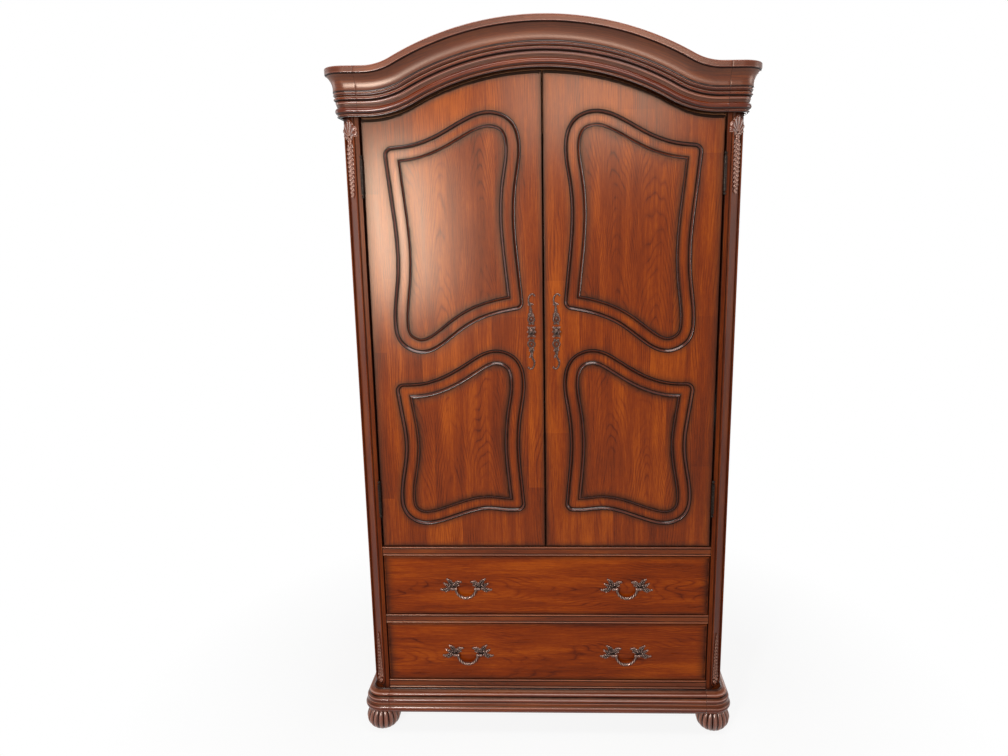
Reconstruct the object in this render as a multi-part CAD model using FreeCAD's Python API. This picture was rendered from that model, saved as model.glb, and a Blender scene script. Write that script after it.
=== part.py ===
"""Television armoire: two arched doors over two drawers, on a moulded plinth with bun feet.

Millimetres, +Z up. The origin is on the floor under the middle of the cabinet, and the front
faces -Y. Each node is written to parts/NODE.step.
"""
import FreeCAD, Part
import math
import os

os.makedirs("parts", exist_ok=True)
V = FreeCAD.Vector

# ---------------------------------------------------------------- driving dimensions
body_width = 1138.0          # over the side panels
body_depth = 620.0           # stile face to the back edges of the sides
board = 19.0                 # solid boards
foot_height = 80.0
plinth_height = 69.0
plinth_reach = 33.5          # plinth beyond the posts
plinth_corner = 26.0         # corner radius of the plinth where it meets the posts
rail_height = 31.0
drawer_opening = 200.5       # clear height between two rails
door_side_height = 1282.5    # door height at its hinged side
arch_rise = 124.0            # top of the doors above their hinged sides
flare_radius = 300.0         # hollow curve at each end of the arch
flat_end = 23.5              # level part of the arch next to each post
door_gap = 2.5               # above and below a door, and between the two doors
hinge_gap = 4.5              # hinged edge of a door to the post
door_recess = 1.5            # door and drawer faces behind the stile faces
door_thickness = 20.0
stop_gap = 0.5               # door backs to the boards that they close against
cornice_gap = 5.0            # door top to cornice
cornice_height = 130.0
cornice_reach = 40.5
cornice_corner = 22.0        # corner radius of the cornice where it meets the posts
seat_gap = 0.4               # between pieces that rest loosely against each other
post_width = 53.0
post_depth = 60.0
cant = 37.0                  # leg of the canted corner of a post

# ---------------------------------------------------------------- levels and planes
half_body = body_width / 2
half_inside = half_body - board
half_opening = half_body - post_width
stile_y = (cornice_reach - body_depth) / 2
back_y = stile_y + body_depth
post_back_y = stile_y + post_depth
plinth_top = foot_height + plinth_height
rail_pitch = rail_height + drawer_opening
rail_z = [plinth_top + i * rail_pitch for i in range(3)]
door_rail_top = rail_z[2] + rail_height
door_bottom = door_rail_top + door_gap
door_side_top = door_bottom + door_side_height
door_apex = door_side_top + arch_rise
cornice_side_z = door_side_top + cornice_gap
post_top = cornice_side_z + cornice_height - 6.0
half_door_run = half_opening - hinge_gap     # centre line to the hinged edge of a door
face_y = stile_y + door_recess
door_back_y = face_y + door_thickness
rail_back_y = door_back_y + stop_gap

# the arch: a large arc between two flares, tangent to a level end at each post
flare_x = half_opening - flat_end
arch_radius = (flare_x ** 2 / arch_rise + arch_rise) / 2 - flare_radius
arch_centre_z = door_apex - arch_radius
flare_centre_z = door_side_top + flare_radius
arch_angle = math.degrees(math.atan2(flare_x, flare_centre_z - arch_centre_z))

nodes = {}


def box(x0, x1, y0, y1, z0, z1):
    return Part.makeBox(x1 - x0, y1 - y0, z1 - z0, V(x0, y0, z0))


def sym_box(half, y0, y1, z0, z1):
    return box(-half, half, y0, y1, z0, z1)


def cylinder(radius, length, start, direction):
    return Part.makeCylinder(radius, length, start, direction)


def bent_rod(radius, start, facing, axis_point, axis, sweep):
    """A round rod bent about an axis, from a start point where it faces along a direction."""
    section = Part.Face(Part.Wire(Part.makeCircle(radius, start, facing)))
    return section.revolve(axis_point, axis, sweep)


def fused(solids):
    body = solids[0]
    if len(solids) > 1:
        body = body.multiFuse(solids[1:])
    return body.removeSplitter()


def mirrored(shape):
    """The same piece on the other side of the cabinet."""
    return shape.mirror(V(0, 0, 0), V(1, 0, 0))


def group(solids):
    """Several separate solids in one node."""
    return Part.Compound(solids)


def slab(points, y0, y1):
    """A board cut to an outline of (x, z) points joined by straight lines."""
    wire = Part.makePolygon([V(x, y0, z) for x, z in points + points[:1]])
    return Part.Face(wire).extrude(V(0, y1 - y0, 0))


def arc_wire(stations, y):
    """A closed wire of arcs: each station gives a corner and the middle of the arc after it."""
    edges = []
    for (start, middle), (end, _) in zip(stations, stations[1:] + stations[:1]):
        ends = [V(start[0], y, start[1]), V(end[0], y, end[1])]
        if middle is None:
            edges.append(Part.makeLine(*ends))
        else:
            edges.append(Part.Arc(ends[0], V(middle[0], y, middle[1]), ends[1]).toShape())
    return Part.Wire(edges)


# ---------------------------------------------------------------- the arch
def arch_edges(offset, half, y):
    """The door-top curve, moved up square to itself by an offset, from -half to half."""
    big = arch_radius + offset
    small = flare_radius - offset
    level = door_side_top + offset
    turn = math.radians(arch_angle)

    def on_big(angle):
        return V(big * math.sin(angle), y, arch_centre_z + big * math.cos(angle))

    def on_flare(side, angle):
        return V(side * (flare_x - small * math.sin(angle)), y,
                 flare_centre_z - small * math.cos(angle))

    left = [V(-half, y, level), on_flare(-1, 0)]
    right = [on_flare(1, 0), V(half, y, level)]
    return [
        Part.makeLine(*left),
        Part.Arc(on_flare(-1, 0), on_flare(-1, turn / 2), on_big(-turn)).toShape(),
        Part.Arc(on_big(-turn), on_big(0), on_big(turn)).toShape(),
        Part.Arc(on_big(turn), on_flare(1, turn / 2), on_flare(1, 0)).toShape(),
        Part.makeLine(*right),
    ]


def arch_board(half, bottom, offset, y0, y1):
    """A board with a level bottom edge and an arched top edge."""
    level = door_side_top + offset
    corners = [V(half, y0, level), V(half, y0, bottom), V(-half, y0, bottom), V(-half, y0, level)]
    edges = arch_edges(offset, half, y0)
    edges += [Part.makeLine(a, b) for a, b in zip(corners, corners[1:])]
    return Part.Face(Part.Wire(edges)).extrude(V(0, y1 - y0, 0))


# ---------------------------------------------------------------- moulding profiles
def cornice_profile():
    """Outline of the cornice as (reach, height): torus, fillets, beads, cove and fascia."""
    line = Part.makeLine
    top = cornice_height

    def p(reach, height):
        return V(0, -reach, height)

    def curve(a, b, c):
        return Part.Arc(p(*a), p(*b), p(*c)).toShape()

    return [
        line(p(0, 0), p(12, 0)),
        line(p(12, 0), p(12, 4.5)),
        line(p(12, 4.5), p(9, 4.5)),
        line(p(9, 4.5), p(9, 7)),
        curve((9, 7), (17, 16), (9, 26)),
        line(p(9, 26), p(11, 27)),
        line(p(11, 27), p(11, 30)),
        line(p(11, 30), p(12.5, 31)),
        line(p(12.5, 31), p(12.5, 34)),
        curve((12.5, 34), (14.5, 39.5), (13.5, 43)),
        line(p(13.5, 43), p(15.5, 44)),
        curve((15.5, 44), (19.5, 47.5), (15.5, 51)),
        curve((15.5, 51), (16.5, 55), (20, 57)),
        line(p(20, 57), p(20, 61)),
        line(p(20, 61), p(18, 61)),
        line(p(18, 61), p(18, 64)),
        line(p(18, 64), p(20.5, 64)),
        line(p(20.5, 64), p(20.5, 68)),
        curve((20.5, 68), (24.5, 94), (37, top - 20)),
        line(p(37, top - 20), p(cornice_reach, top - 18)),
        line(p(cornice_reach, top - 18), p(cornice_reach, top - 2)),
        line(p(cornice_reach, top - 2), p(cornice_reach - 2, top)),
        line(p(cornice_reach - 2, top), p(0, top)),
        line(p(0, top), p(0, 0)),
    ]


def plinth_profile():
    """Outline of the plinth as (reach, height): three rounds with hollows between them."""
    line = Part.makeLine
    top = plinth_height
    reach = plinth_reach

    def p(inward, height):
        return V(0, inward - reach, height)

    def curve(a, b, c):
        return Part.Arc(p(*a), p(*b), p(*c)).toShape()

    return [
        line(V(0, 0, 0), p(3.5, 0)),
        line(p(3.5, 0), p(3.5, 3)),
        curve((3.5, 3), (0, 11.5), (4, 20)),
        curve((4, 20), (6.5, 26.5), (7.5, 33)),
        line(p(7.5, 33), p(6.5, 34)),
        curve((6.5, 34), (7, 41), (11, 44)),
        curve((11, 44), (13.5, 47), (14.5, 51)),
        line(p(14.5, 51), p(14, 51.5)),
        curve((14, 51.5), (14, 57.5), (19, 60)),
        curve((19, 60), (25, 62.5), (30, top - 2)),
        line(p(30, top - 2), p(30, top)),
        line(p(30, top), V(0, 0, top)),
        line(V(0, 0, top), V(0, 0, 0)),
    ]


def profile_face(edges, x, y, z):
    """A profile set on a point of the run: reach 0 at y, height 0 at z."""
    face = Part.Face(Part.Wire(edges))
    face.translate(V(x, y, z))
    return face


def side_run(profile, corner, bottom_z, start_x):
    """A moulding that runs from start_x along the front, round the corner and to the back."""
    centre = V(half_body - corner, stile_y + corner, 0)
    front = profile_face(profile(), start_x, stile_y, bottom_z)
    front = front.extrude(V(centre.x - start_x, 0, 0))
    # the quarter turn is filled to its axis, so that it backs onto the post
    edges = profile()
    face = profile_face(edges, centre.x, stile_y, bottom_z)
    height = face.BoundBox.ZMax - bottom_z
    inner = Part.Face(Part.makePolygon([
        V(centre.x, stile_y, bottom_z), V(centre.x, centre.y, bottom_z),
        V(centre.x, centre.y, bottom_z + height), V(centre.x, stile_y, bottom_z + height),
        V(centre.x, stile_y, bottom_z)]))
    turned = face.fuse(inner).removeSplitter().Faces[0].revolve(centre, V(0, 0, 1), 90)
    side = profile_face(edges, 0, 0, 0)
    side.rotate(V(0, 0, 0), V(0, 0, 1), 90)
    side.translate(V(half_body, centre.y, bottom_z))
    side = side.extrude(V(0, back_y - centre.y, 0))
    return front, turned, side


# ---------------------------------------------------------------- posts and side panels
def post_blank(top=post_top):
    """A post before its strip is sunk, with its outer corner canted."""
    corners = [(half_opening, stile_y), (half_body - cant, stile_y), (half_body, stile_y + cant),
               (half_body, post_back_y), (half_opening, post_back_y)]
    wire = Part.makePolygon([V(x, y, foot_height) for x, y in corners + corners[:1]])
    return Part.Face(wire).extrude(V(0, 0, top - foot_height))


# local frame of the canted face: u across it, v up, w out of it
cant_middle = V(half_body - cant / 2, stile_y + cant / 2, 0)
cant_placement = FreeCAD.Placement(
    cant_middle, FreeCAD.Rotation(V(0, 0, 1), 45).multiply(FreeCAD.Rotation(V(1, 0, 0), 90)))

strip_half = 22.0            # half the width of the sunk strip
strip_depth = 3.0
strip_bead = 2.2             # radius of the bead round the strip
strip_margin = 27.0          # straight part of the strip from the cornice and the plinth


def on_cant(shape):
    placed = shape.copy()
    placed.Placement = cant_placement.multiply(placed.Placement)
    return placed


def strip_solid(half_width, w0, w1):
    """A long plate with round ends, in the frame of the canted face."""
    low = plinth_top + strip_margin
    high = cornice_side_z - strip_margin
    plate = Part.makeBox(2 * half_width, high - low, w1 - w0, V(-half_width, low, w0))
    ends = [cylinder(half_width, w1 - w0, V(0, v, w0), V(0, 0, 1)) for v in (low, high)]
    return fused([plate] + ends)


def strip_border():
    """The bead round the sunk strip."""
    radius = strip_half + strip_bead - 0.8
    low = plinth_top + strip_margin
    high = cornice_side_z - strip_margin
    rods = [cylinder(strip_bead, high - low, V(u, low, 0), V(0, 1, 0)) for u in (-radius, radius)]
    start = V(radius, 0, 0)
    head, foot = (bent_rod(strip_bead, start + V(0, v, 0), V(0, 1, 0), V(0, v, 0), V(0, 0, 1), turn)
                  for v, turn in ((high, 180), (low, -180)))
    return rods + [foot, head]


def corner_post():
    post = post_blank()
    quirk = box(half_body - cant - 2.5, half_body - cant - 0.5, stile_y, stile_y + 2,
                plinth_top, cornice_side_z)
    post = post.cut(quirk).cut(on_cant(strip_solid(strip_half, -strip_depth, 5)))
    beads = [on_cant(bead) for bead in strip_border()]
    return fused([post] + beads)


nodes["right_corner_post"] = corner_post()
nodes["right_side_panel"] = box(half_inside, half_body, post_back_y, back_y, foot_height, post_top)

# ---------------------------------------------------------------- applied drops on the posts
drop_thickness = 7.0
drop_lap = 5.6               # a shell's lip over the floor of the strip, clear of the bead
drop_width = 30.0            # broad end of a drop
drop_tip = 8.0               # narrow end
shell_foot = 20.5            # radius of a shell inside the strip
shell_lip = 27.0             # radius of a shell over the bead
spray_radius = 15.0          # broad end of a lower drop
upper_drop_length = 217.0
lower_drop_length = 183.0
drop_end = 3.0               # top of a shell below the cornice
drop_clear = 1.5             # foot of a lower drop from the round end of the strip


def drop_blank(broad_v, tip_v, disc_radius):
    """A tapering drop with a disc at its broad end, in the frame of the canted face."""
    up = 1 if tip_v > broad_v else -1
    disc_v = broad_v + up * disc_radius
    floor = -strip_depth
    corners = [(-drop_width / 2, disc_v), (drop_width / 2, disc_v),
               (drop_tip / 2, tip_v), (-drop_tip / 2, tip_v)]
    wire = Part.makePolygon([V(u, v, floor) for u, v in corners + corners[:1]])
    taper = Part.Face(wire).extrude(V(0, 0, drop_thickness - 1))
    return fused([cylinder(disc_radius, drop_thickness, V(0, disc_v, floor), V(0, 0, 1)), taper])


def shell_blank(top_v):
    """The blank of a shell: it stands in the strip and laps over the bead round it."""
    middle = V(0, top_v - shell_lip, -strip_depth)
    foot = cylinder(shell_foot, drop_lap, middle, V(0, 0, 1))
    lip = cylinder(shell_lip, drop_thickness - drop_lap + 2, middle + V(0, 0, drop_lap), V(0, 0, 1))
    return fused([foot, lip])


upper_drop_top = cornice_side_z - drop_end
lower_drop_foot = plinth_top + strip_margin - strip_half + drop_clear
drop_root = upper_drop_top - shell_lip + spray_radius
upper_drop = fused([shell_blank(upper_drop_top),
                    drop_blank(drop_root, upper_drop_top - upper_drop_length, spray_radius)])
nodes["upper_right_drop"] = on_cant(upper_drop)
nodes["lower_right_drop"] = on_cant(
    drop_blank(lower_drop_foot, lower_drop_foot + lower_drop_length, spray_radius))

# ---------------------------------------------------------------- rails
rail_bead = 3.0


def rail(bottom):
    """A rail between the posts, with a bead along each edge and a flat set back between."""
    top = bottom + rail_height
    core = sym_box(half_opening, stile_y + rail_bead, rail_back_y, bottom, top)
    face = sym_box(half_opening, stile_y + 1.5, stile_y + rail_bead + 1,
                   bottom + 2 * rail_bead + 1, top - 2 * rail_bead - 1)
    beads = [cylinder(rail_bead, 2 * half_opening, V(-half_opening, stile_y + rail_bead, z),
                      V(1, 0, 0)) for z in (bottom + rail_bead, top - rail_bead)]
    return fused([core, face] + beads)


for name, bottom in zip(("bottom_rail", "drawer_rail", "door_rail"), rail_z):
    nodes[name] = rail(bottom)

# ---------------------------------------------------------------- carcass boards
back_thickness = 6.0
back_inset = 4.0
inside_back_y = back_y - back_inset - back_thickness
shelf_setback = 45.0
header_drop = 40.0           # header below the hinged tops of the doors
header_lap = 30.0            # header above the door-top curve
header_y = rail_back_y
header_back_y = header_y + board


def notched_board(z0, z1, front_y):
    """A level board between the sides, notched round the posts."""
    front = sym_box(half_opening, front_y, post_back_y, z0, z1)
    rear = sym_box(half_inside, post_back_y, inside_back_y, z0, z1)
    return fused([front, rear])


top_z = cornice_side_z + 22.0
bottom_z = plinth_top + 4.0
nodes["top_panel"] = notched_board(top_z, top_z + board, header_back_y)
nodes["bottom_panel"] = notched_board(bottom_z, bottom_z + board, rail_back_y)
nodes["compartment_floor"] = notched_board(door_rail_top - board, door_rail_top, rail_back_y)
dust_panel_thickness = 12.0
dust_z = rail_z[1] + (rail_height - dust_panel_thickness) / 2
nodes["dust_panel"] = notched_board(dust_z, dust_z + dust_panel_thickness, rail_back_y)

header_bottom = door_side_top - header_drop
nodes["header_rail"] = arch_board(half_opening, header_bottom, header_lap, header_y, header_back_y)
frieze = arch_board(half_opening, door_side_top - 10, cornice_gap + cornice_height - 8,
                    stile_y, header_y)
doorway = arch_board(half_opening + 10, door_side_top - 20, cornice_gap, stile_y - 5, header_y + 5)
nodes["frieze_board"] = frieze.cut(doorway)

# ---------------------------------------------------------------- shelves
component_height = 200.0     # bay under the television shelf
shelf_thickness = 22.0
tv_bay_height = 768.0
tv_shelf_z = door_rail_top + component_height
upper_shelf_z = tv_shelf_z + shelf_thickness + tv_bay_height
shelf_front_y = stile_y + shelf_setback
upper_shelf_clear = 2.0
pin_radius = 3.0
pin_length = 16.0
pin_sink = 8.0
pin_clear = 0.05
pin_pitch = 32.0
pin_places = 3
pin_inset = 60.0             # pin columns from the front and back edges of the shelf

nodes["tv_shelf"] = notched_board(tv_shelf_z, tv_shelf_z + shelf_thickness, shelf_front_y)
nodes["component_divider"] = box(-board / 2, board / 2, shelf_front_y + 15, inside_back_y,
                                 door_rail_top, tv_shelf_z)
nodes["adjustable_shelf"] = sym_box(half_inside - upper_shelf_clear, post_back_y + 10,
                                    inside_back_y - upper_shelf_clear, upper_shelf_z,
                                    upper_shelf_z + shelf_thickness)
pin_y = [post_back_y + 10 + pin_inset, inside_back_y - pin_inset]
pin_z = upper_shelf_z - pin_radius
holes = [cylinder(pin_radius + pin_clear, pin_sink, V(half_inside, y, pin_z + k * pin_pitch),
                  V(1, 0, 0)) for y in pin_y for k in range(-(pin_places // 2), pin_places // 2 + 1)]
nodes["right_side_panel"] = nodes["right_side_panel"].cut(Part.Compound(holes))
pins = [cylinder(pin_radius, pin_length, V(half_inside - pin_length + pin_sink - 0.2, y, pin_z),
                 V(1, 0, 0)) for y in pin_y]
nodes["shelf_pins"] = group(pins + [mirrored(pin) for pin in pins])

# ---------------------------------------------------------------- back panel
port_width = 160.0
port_height = 70.0
port_lift = 40.0             # cable ports above the board below them


def round_slot(width, height, x, z):
    """A cutter for a slot with round ends through the back panel."""
    radius = height / 2
    run = width / 2 - radius
    y0 = inside_back_y - 5
    depth = back_thickness + 10
    middle = box(x - run, x + run, y0, y0 + depth, z - radius, z + radius)
    ends = [cylinder(radius, depth, V(x + side * run, y0, z), V(0, 1, 0)) for side in (-1, 1)]
    return fused([middle] + ends)


back_panel = sym_box(half_inside, inside_back_y, inside_back_y + back_thickness,
                     plinth_top, top_z + board)
port_z = [door_rail_top + port_lift + port_height / 2,
          tv_shelf_z + shelf_thickness + port_lift + port_height / 2]
port_x = half_inside / 2
ports = [round_slot(port_width, port_height, x, z)
         for x, z in ((-port_x, port_z[0]), (port_x, port_z[0]), (port_x, port_z[1]))]
nodes["back_panel"] = back_panel.cut(Part.Compound(ports))


# ---------------------------------------------------------------- cornice
def turned_round(face, x, z, start, sweep):
    """A profile revolved about an axis along Y through (x, z)."""
    turned = face.copy()
    turned.rotate(V(x, 0, z), V(0, 1, 0), start)
    return turned.revolve(V(x, 0, z), V(0, 1, 0), sweep)


def arched_cornice():
    """The cornice between the posts: one big arc, two flares and two level ends."""
    crown = profile_face(cornice_profile(), 0, stile_y, door_apex + cornice_gap)
    end = profile_face(cornice_profile(), flare_x, stile_y, cornice_side_z)
    middle = turned_round(crown, 0, arch_centre_z, -arch_angle, 2 * arch_angle)
    flare = turned_round(end, flare_x, flare_centre_z, 0, arch_angle)
    level = end.extrude(V(flat_end, 0, 0))
    return fused([middle, flare, level, mirrored(flare), mirrored(level)])


nodes["cornice_arch"] = arched_cornice()
cornice_run = side_run(cornice_profile, cornice_corner, cornice_side_z, half_opening)
nodes["right_cornice_return"] = fused(list(cornice_run)).cut(post_blank(post_top + 50))

# ---------------------------------------------------------------- plinth
plinth_front, plinth_turn, plinth_side = side_run(plinth_profile, plinth_corner, foot_height,
                                                  half_opening)
front_face = profile_face(plinth_profile(), -half_opening, stile_y, foot_height)
plinth_back = sym_box(half_opening, stile_y, rail_back_y, foot_height, plinth_top)
nodes["plinth_front"] = fused([front_face.extrude(V(2 * half_opening, 0, 0)), plinth_back])
nodes["right_plinth_return"] = fused([plinth_front, plinth_turn, plinth_side]).cut(post_blank())

# ---------------------------------------------------------------- feet
foot_radius = 55.0
foot_base = 25.0             # radius of a foot's flat underside
foot_neck = 35.0             # radius of its top
foot_inset = 23.0            # foot axis from the post's outer faces


def bun_foot(x, y):
    """A turned bun, widest at half its height."""
    def p(radius, share):
        return V(radius, 0, share * foot_height)

    outline = Part.Wire([
        Part.makeLine(p(0, 0), p(foot_base, 0)),
        Part.Arc(p(foot_base, 0), p(foot_radius - 8.5, 0.2), p(foot_radius, 0.5)).toShape(),
        Part.Arc(p(foot_radius, 0.5), p(foot_radius - 6.5, 0.8), p(foot_neck, 1)).toShape(),
        Part.makeLine(p(foot_neck, 1), p(0, 1)),
        Part.makeLine(p(0, 1), p(0, 0))])
    foot = Part.Face(outline).revolve(V(0, 0, 0), V(0, 0, 1), 360)
    foot.translate(V(x, y, 0))
    return foot


foot_x = half_body - foot_inset
front_foot = bun_foot(foot_x, stile_y + foot_inset)
rear_foot = bun_foot(foot_x, back_y - foot_radius)
nodes["front_feet"] = group([front_foot, mirrored(front_foot)])
nodes["rear_feet"] = group([rear_foot, mirrored(rear_foot)])

# ---------------------------------------------------------------- shaped door panels
meeting_margin = 64.5        # panel box from the meeting edge of the door
hinge_margin = 65.5          # panel box from the hinged edge
bottom_margin = 80.0
crown_margin = 112.5         # top of the upper panel below the top of the arch
panel_spacing = 4.5          # lower panel's crest to the upper panel's lobe
lower_panel_height = 536.5
band_width = 30.0            # sunk band between the frame and the raised field
band_depth = 5.5
panel_lap = 12.0             # panel board behind the frame, beyond the outline's box
panel_rib = 20.0             # sloping rib of the frame between the two boards
rib_slope = -0.3
board_crown = 60.0           # upper board below the door-top curve
panel_edge = 4.0             # bevel of the frame's and the field's edges
panel_thickness = 16.0
corner_round = 16.0          # rounding of the two points of an outline

# templates for the outlines, from the lower corner next to the meeting edge: each is two
# curves, over the top and down to the low point, then along the bottom and up to the high one
upper_template = [
    [(379.5, 578.5), (304, 587), (229, 613.5), (154, 653.5), (84, 673.5), (24, 649),
     (4, 593), (15, 489), (22, 387), (14, 267), (0.5, 131)],
    [(0.5, 131), (79, 115.5), (154, 85.5), (229, 31.5), (300, 0.5), (358, 31),
     (371, 89), (359, 207), (355, 302), (365, 432), (379.5, 578.5)]]
upper_template_size = (380.0, 673.5)
lower_template = [
    [(377, 435), (304, 437.5), (229, 461.5), (154, 505.5), (82, 536.5), (22, 513.5),
     (0, 453.5), (10, 355.5), (19, 242.5), (12, 137.5), (3.5, 44.5)],
    [(3.5, 44.5), (44, 43), (114, 48.5), (194, 30.5), (264, 6.5), (319, 1), (364, 29.5),
     (376, 82.5), (361, 187.5), (355, 252.5), (364, 342.5), (377, 435)]]
lower_template_size = (380.0, 536.5)

half_gap = door_gap / 2
panel_x0 = half_gap + meeting_margin
panel_width = half_door_run - hinge_margin - panel_x0
lower_panel_z = door_bottom + bottom_margin
upper_panel_z = lower_panel_z + lower_panel_height + panel_spacing
upper_panel_height = door_apex - crown_margin - upper_panel_z


def outline(template, size, z0, height):
    """A template fitted to its box on the door face, as two curves."""
    scale_x = panel_width / size[0]
    scale_z = height / size[1]
    curves = []
    for points in template:
        spline = Part.BSplineCurve()
        spline.interpolate([V(panel_x0 + x * scale_x, face_y, z0 + z * scale_z)
                            for x, z in points])
        curves.append(spline)
    return curves


def inset_wire(curves, distance, steps=16):
    """The two curves moved inwards square to themselves and trimmed where they cross."""
    moved = []
    for curve in curves:
        points = []
        for i in range(steps + 1):
            u = curve.FirstParameter + (curve.LastParameter - curve.FirstParameter) * i / steps
            along = curve.tangent(u)[0]
            points.append(curve.value(u) + V(-along.z, 0, along.x) * distance)
        spline = Part.BSplineCurve()
        spline.interpolate(points)
        moved.append(spline)
    crossings = [V(p.X, p.Y, p.Z) for p in moved[0].intersectCC(moved[1])]
    edges = []
    for spline in moved:
        ends = sorted(spline.parameter(point) for point in crossings)
        edges.append(spline.toShape(ends[0], ends[-1]))
    return Part.Wire(edges)


def edges_at(shape, y):
    """The edges of a shape that lie in one plane across Y."""
    return [e for e in shape.Edges
            if abs(e.BoundBox.YMin - y) < 1e-4 and abs(e.BoundBox.YMax - y) < 1e-4]


def panel_blank(is_upper, inset, depth):
    """The board of a panel behind the band, smaller than its rebate by an inset all round."""
    x0 = panel_x0 - panel_lap + inset
    x1 = panel_x0 + panel_width + panel_lap - inset
    middle_x = panel_x0 + panel_width / 2
    middle_z = lower_panel_z + lower_panel_height + panel_spacing / 2
    away = (panel_rib / 2 + inset) * (1 if is_upper else -1)
    joint = [middle_z + away + rib_slope * (x - middle_x) for x in (x0, x1)]
    y0 = face_y + band_depth
    if not is_upper:
        low = lower_panel_z - panel_lap + inset
        return slab([(x0, low), (x1, low), (x1, joint[1]), (x0, joint[0])], y0, y0 + depth)
    blank = slab([(x0, joint[0]), (x1, joint[1]), (x1, door_apex), (x0, door_apex)],
                 y0, y0 + depth)
    return blank.common(arch_board(half_opening, joint[1] - 10, -board_crown - inset,
                                   y0, y0 + depth))


def door_panel(is_upper, template, size, z0, height):
    """A panel with its raised field, and what it cuts from the frame: band and rebate."""
    curves = outline(template, size, z0, height)
    wire = Part.Wire([curve.toShape() for curve in curves])
    opening = Part.Face(wire).extrude(V(0, band_depth, 0))
    points = [e for e in opening.Edges if isinstance(e.Curve, Part.Line)]
    opening = opening.makeFillet(corner_round, points)
    rebate = panel_blank(is_upper, 0, door_thickness - band_depth)
    field = Part.Face(inset_wire(curves, band_width)).extrude(V(0, band_depth, 0))
    field = field.makeChamfer(panel_edge, edges_at(field, face_y))
    panel = fused([panel_blank(is_upper, seat_gap, panel_thickness - band_depth), field])
    return panel, opening, rebate


# ---------------------------------------------------------------- hinges
hinge_length = 96.0          # knuckles together
hinge_inset = 158.0          # hinge middle from the door's lower end and its hinged top
leaf_thickness = 2.0
leaf_width = 19.0
knuckle_radius = 4.5
knuckle_count = 5
knuckle_gap = 0.4
hinge_pin_radius = 2.0
hinge_pin_clear = 0.05
tip_radius = 4.6
tip_neck = 3.0
hinge_forward = 5.2          # hinge axis in front of the stile face
hinge_x = half_opening - hinge_gap / 2
hinge_y = stile_y - hinge_forward
hinge_z = [door_bottom + hinge_inset, door_side_top - hinge_inset]


def knuckle_span(index, middle):
    pitch = hinge_length / knuckle_count
    low = middle - hinge_length / 2 + index * pitch
    return low, low + pitch - knuckle_gap


def hinge_leaf(middle, on_door):
    """A leaf let into the edge, with its own knuckles; the post's leaf carries the pin."""
    side = -1 if on_door else 1
    x0 = hinge_x + side * hinge_gap / 2
    x1 = x0 + side * leaf_thickness
    low = middle - hinge_length / 2
    plate = box(min(x0, x1), max(x0, x1), stile_y, stile_y + leaf_width,
                low, low + hinge_length - knuckle_gap)
    solids = [plate]
    for index in range(1 if on_door else 0, knuckle_count, 2):
        z0, z1 = knuckle_span(index, middle)
        solids.append(cylinder(knuckle_radius, z1 - z0, V(hinge_x, hinge_y, z0), V(0, 0, 1)))
        solids.append(box(min(x0, x1), max(x0, x1), hinge_y, stile_y, z0, z1))
    leaf_solid = fused(solids)
    if on_door:
        start = V(hinge_x, hinge_y, low - 1)
        return leaf_solid.cut(cylinder(hinge_pin_radius + hinge_pin_clear, hinge_length + 2,
                                       start, V(0, 0, 1)))
    return fused([leaf_solid, hinge_pin(low, low + hinge_length - knuckle_gap)])


def hinge_pin(low, high):
    """The pin with a ball on a neck at each end, turned as one piece."""
    low_ball = low - tip_neck - tip_radius
    high_ball = high + tip_neck + tip_radius
    drop = math.sqrt(tip_radius ** 2 - hinge_pin_radius ** 2)

    def p(radius, z):
        return V(hinge_x + radius, hinge_y, z)

    outline = Part.Wire([
        Part.Arc(p(0, low_ball - tip_radius), p(tip_radius, low_ball),
                 p(hinge_pin_radius, low_ball + drop)).toShape(),
        Part.makeLine(p(hinge_pin_radius, low_ball + drop), p(hinge_pin_radius, high_ball - drop)),
        Part.Arc(p(hinge_pin_radius, high_ball - drop), p(tip_radius, high_ball),
                 p(0, high_ball + tip_radius)).toShape(),
        Part.makeLine(p(0, high_ball + tip_radius), p(0, low_ball - tip_radius))])
    return Part.Face(outline).revolve(p(0, 0), V(0, 0, 1), 360)


def leaf_mortise(middle, on_door):
    side = -1 if on_door else 1
    x0 = hinge_x + side * hinge_gap / 2
    x1 = x0 + side * leaf_thickness
    low = middle - hinge_length / 2
    return box(min(x0, x1), max(x0, x1), stile_y - 1, stile_y + leaf_width,
               low, low + hinge_length - knuckle_gap)


jamb_leaves = [hinge_leaf(z, False) for z in hinge_z]
nodes["hinge_jamb_leaves"] = group(jamb_leaves + [mirrored(piece) for piece in jamb_leaves])
for z in hinge_z:
    nodes["right_corner_post"] = nodes["right_corner_post"].cut(leaf_mortise(z, False))
nodes["right_door_hinges"] = group([hinge_leaf(z, True) for z in hinge_z])

# ---------------------------------------------------------------- doors
door_edge = 2.0              # easing of the meeting edge


def door_blank():
    """The right door before its panels are cut, with its meeting edge eased."""
    blank = arch_board(half_door_run, door_bottom, 0, face_y, door_back_y)
    meeting = sym_box(half_gap, face_y - 1, door_back_y + 1, 0, door_apex + 1)
    half = blank.cut(meeting).common(box(0, half_body, face_y, door_back_y, 0, door_apex + 1))
    edge = [e for e in half.Edges if abs(e.BoundBox.XMax - half_gap) < 1e-4
            and abs(e.BoundBox.YMax - face_y) < 1e-4]
    return half.makeFillet(door_edge, edge)


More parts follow.
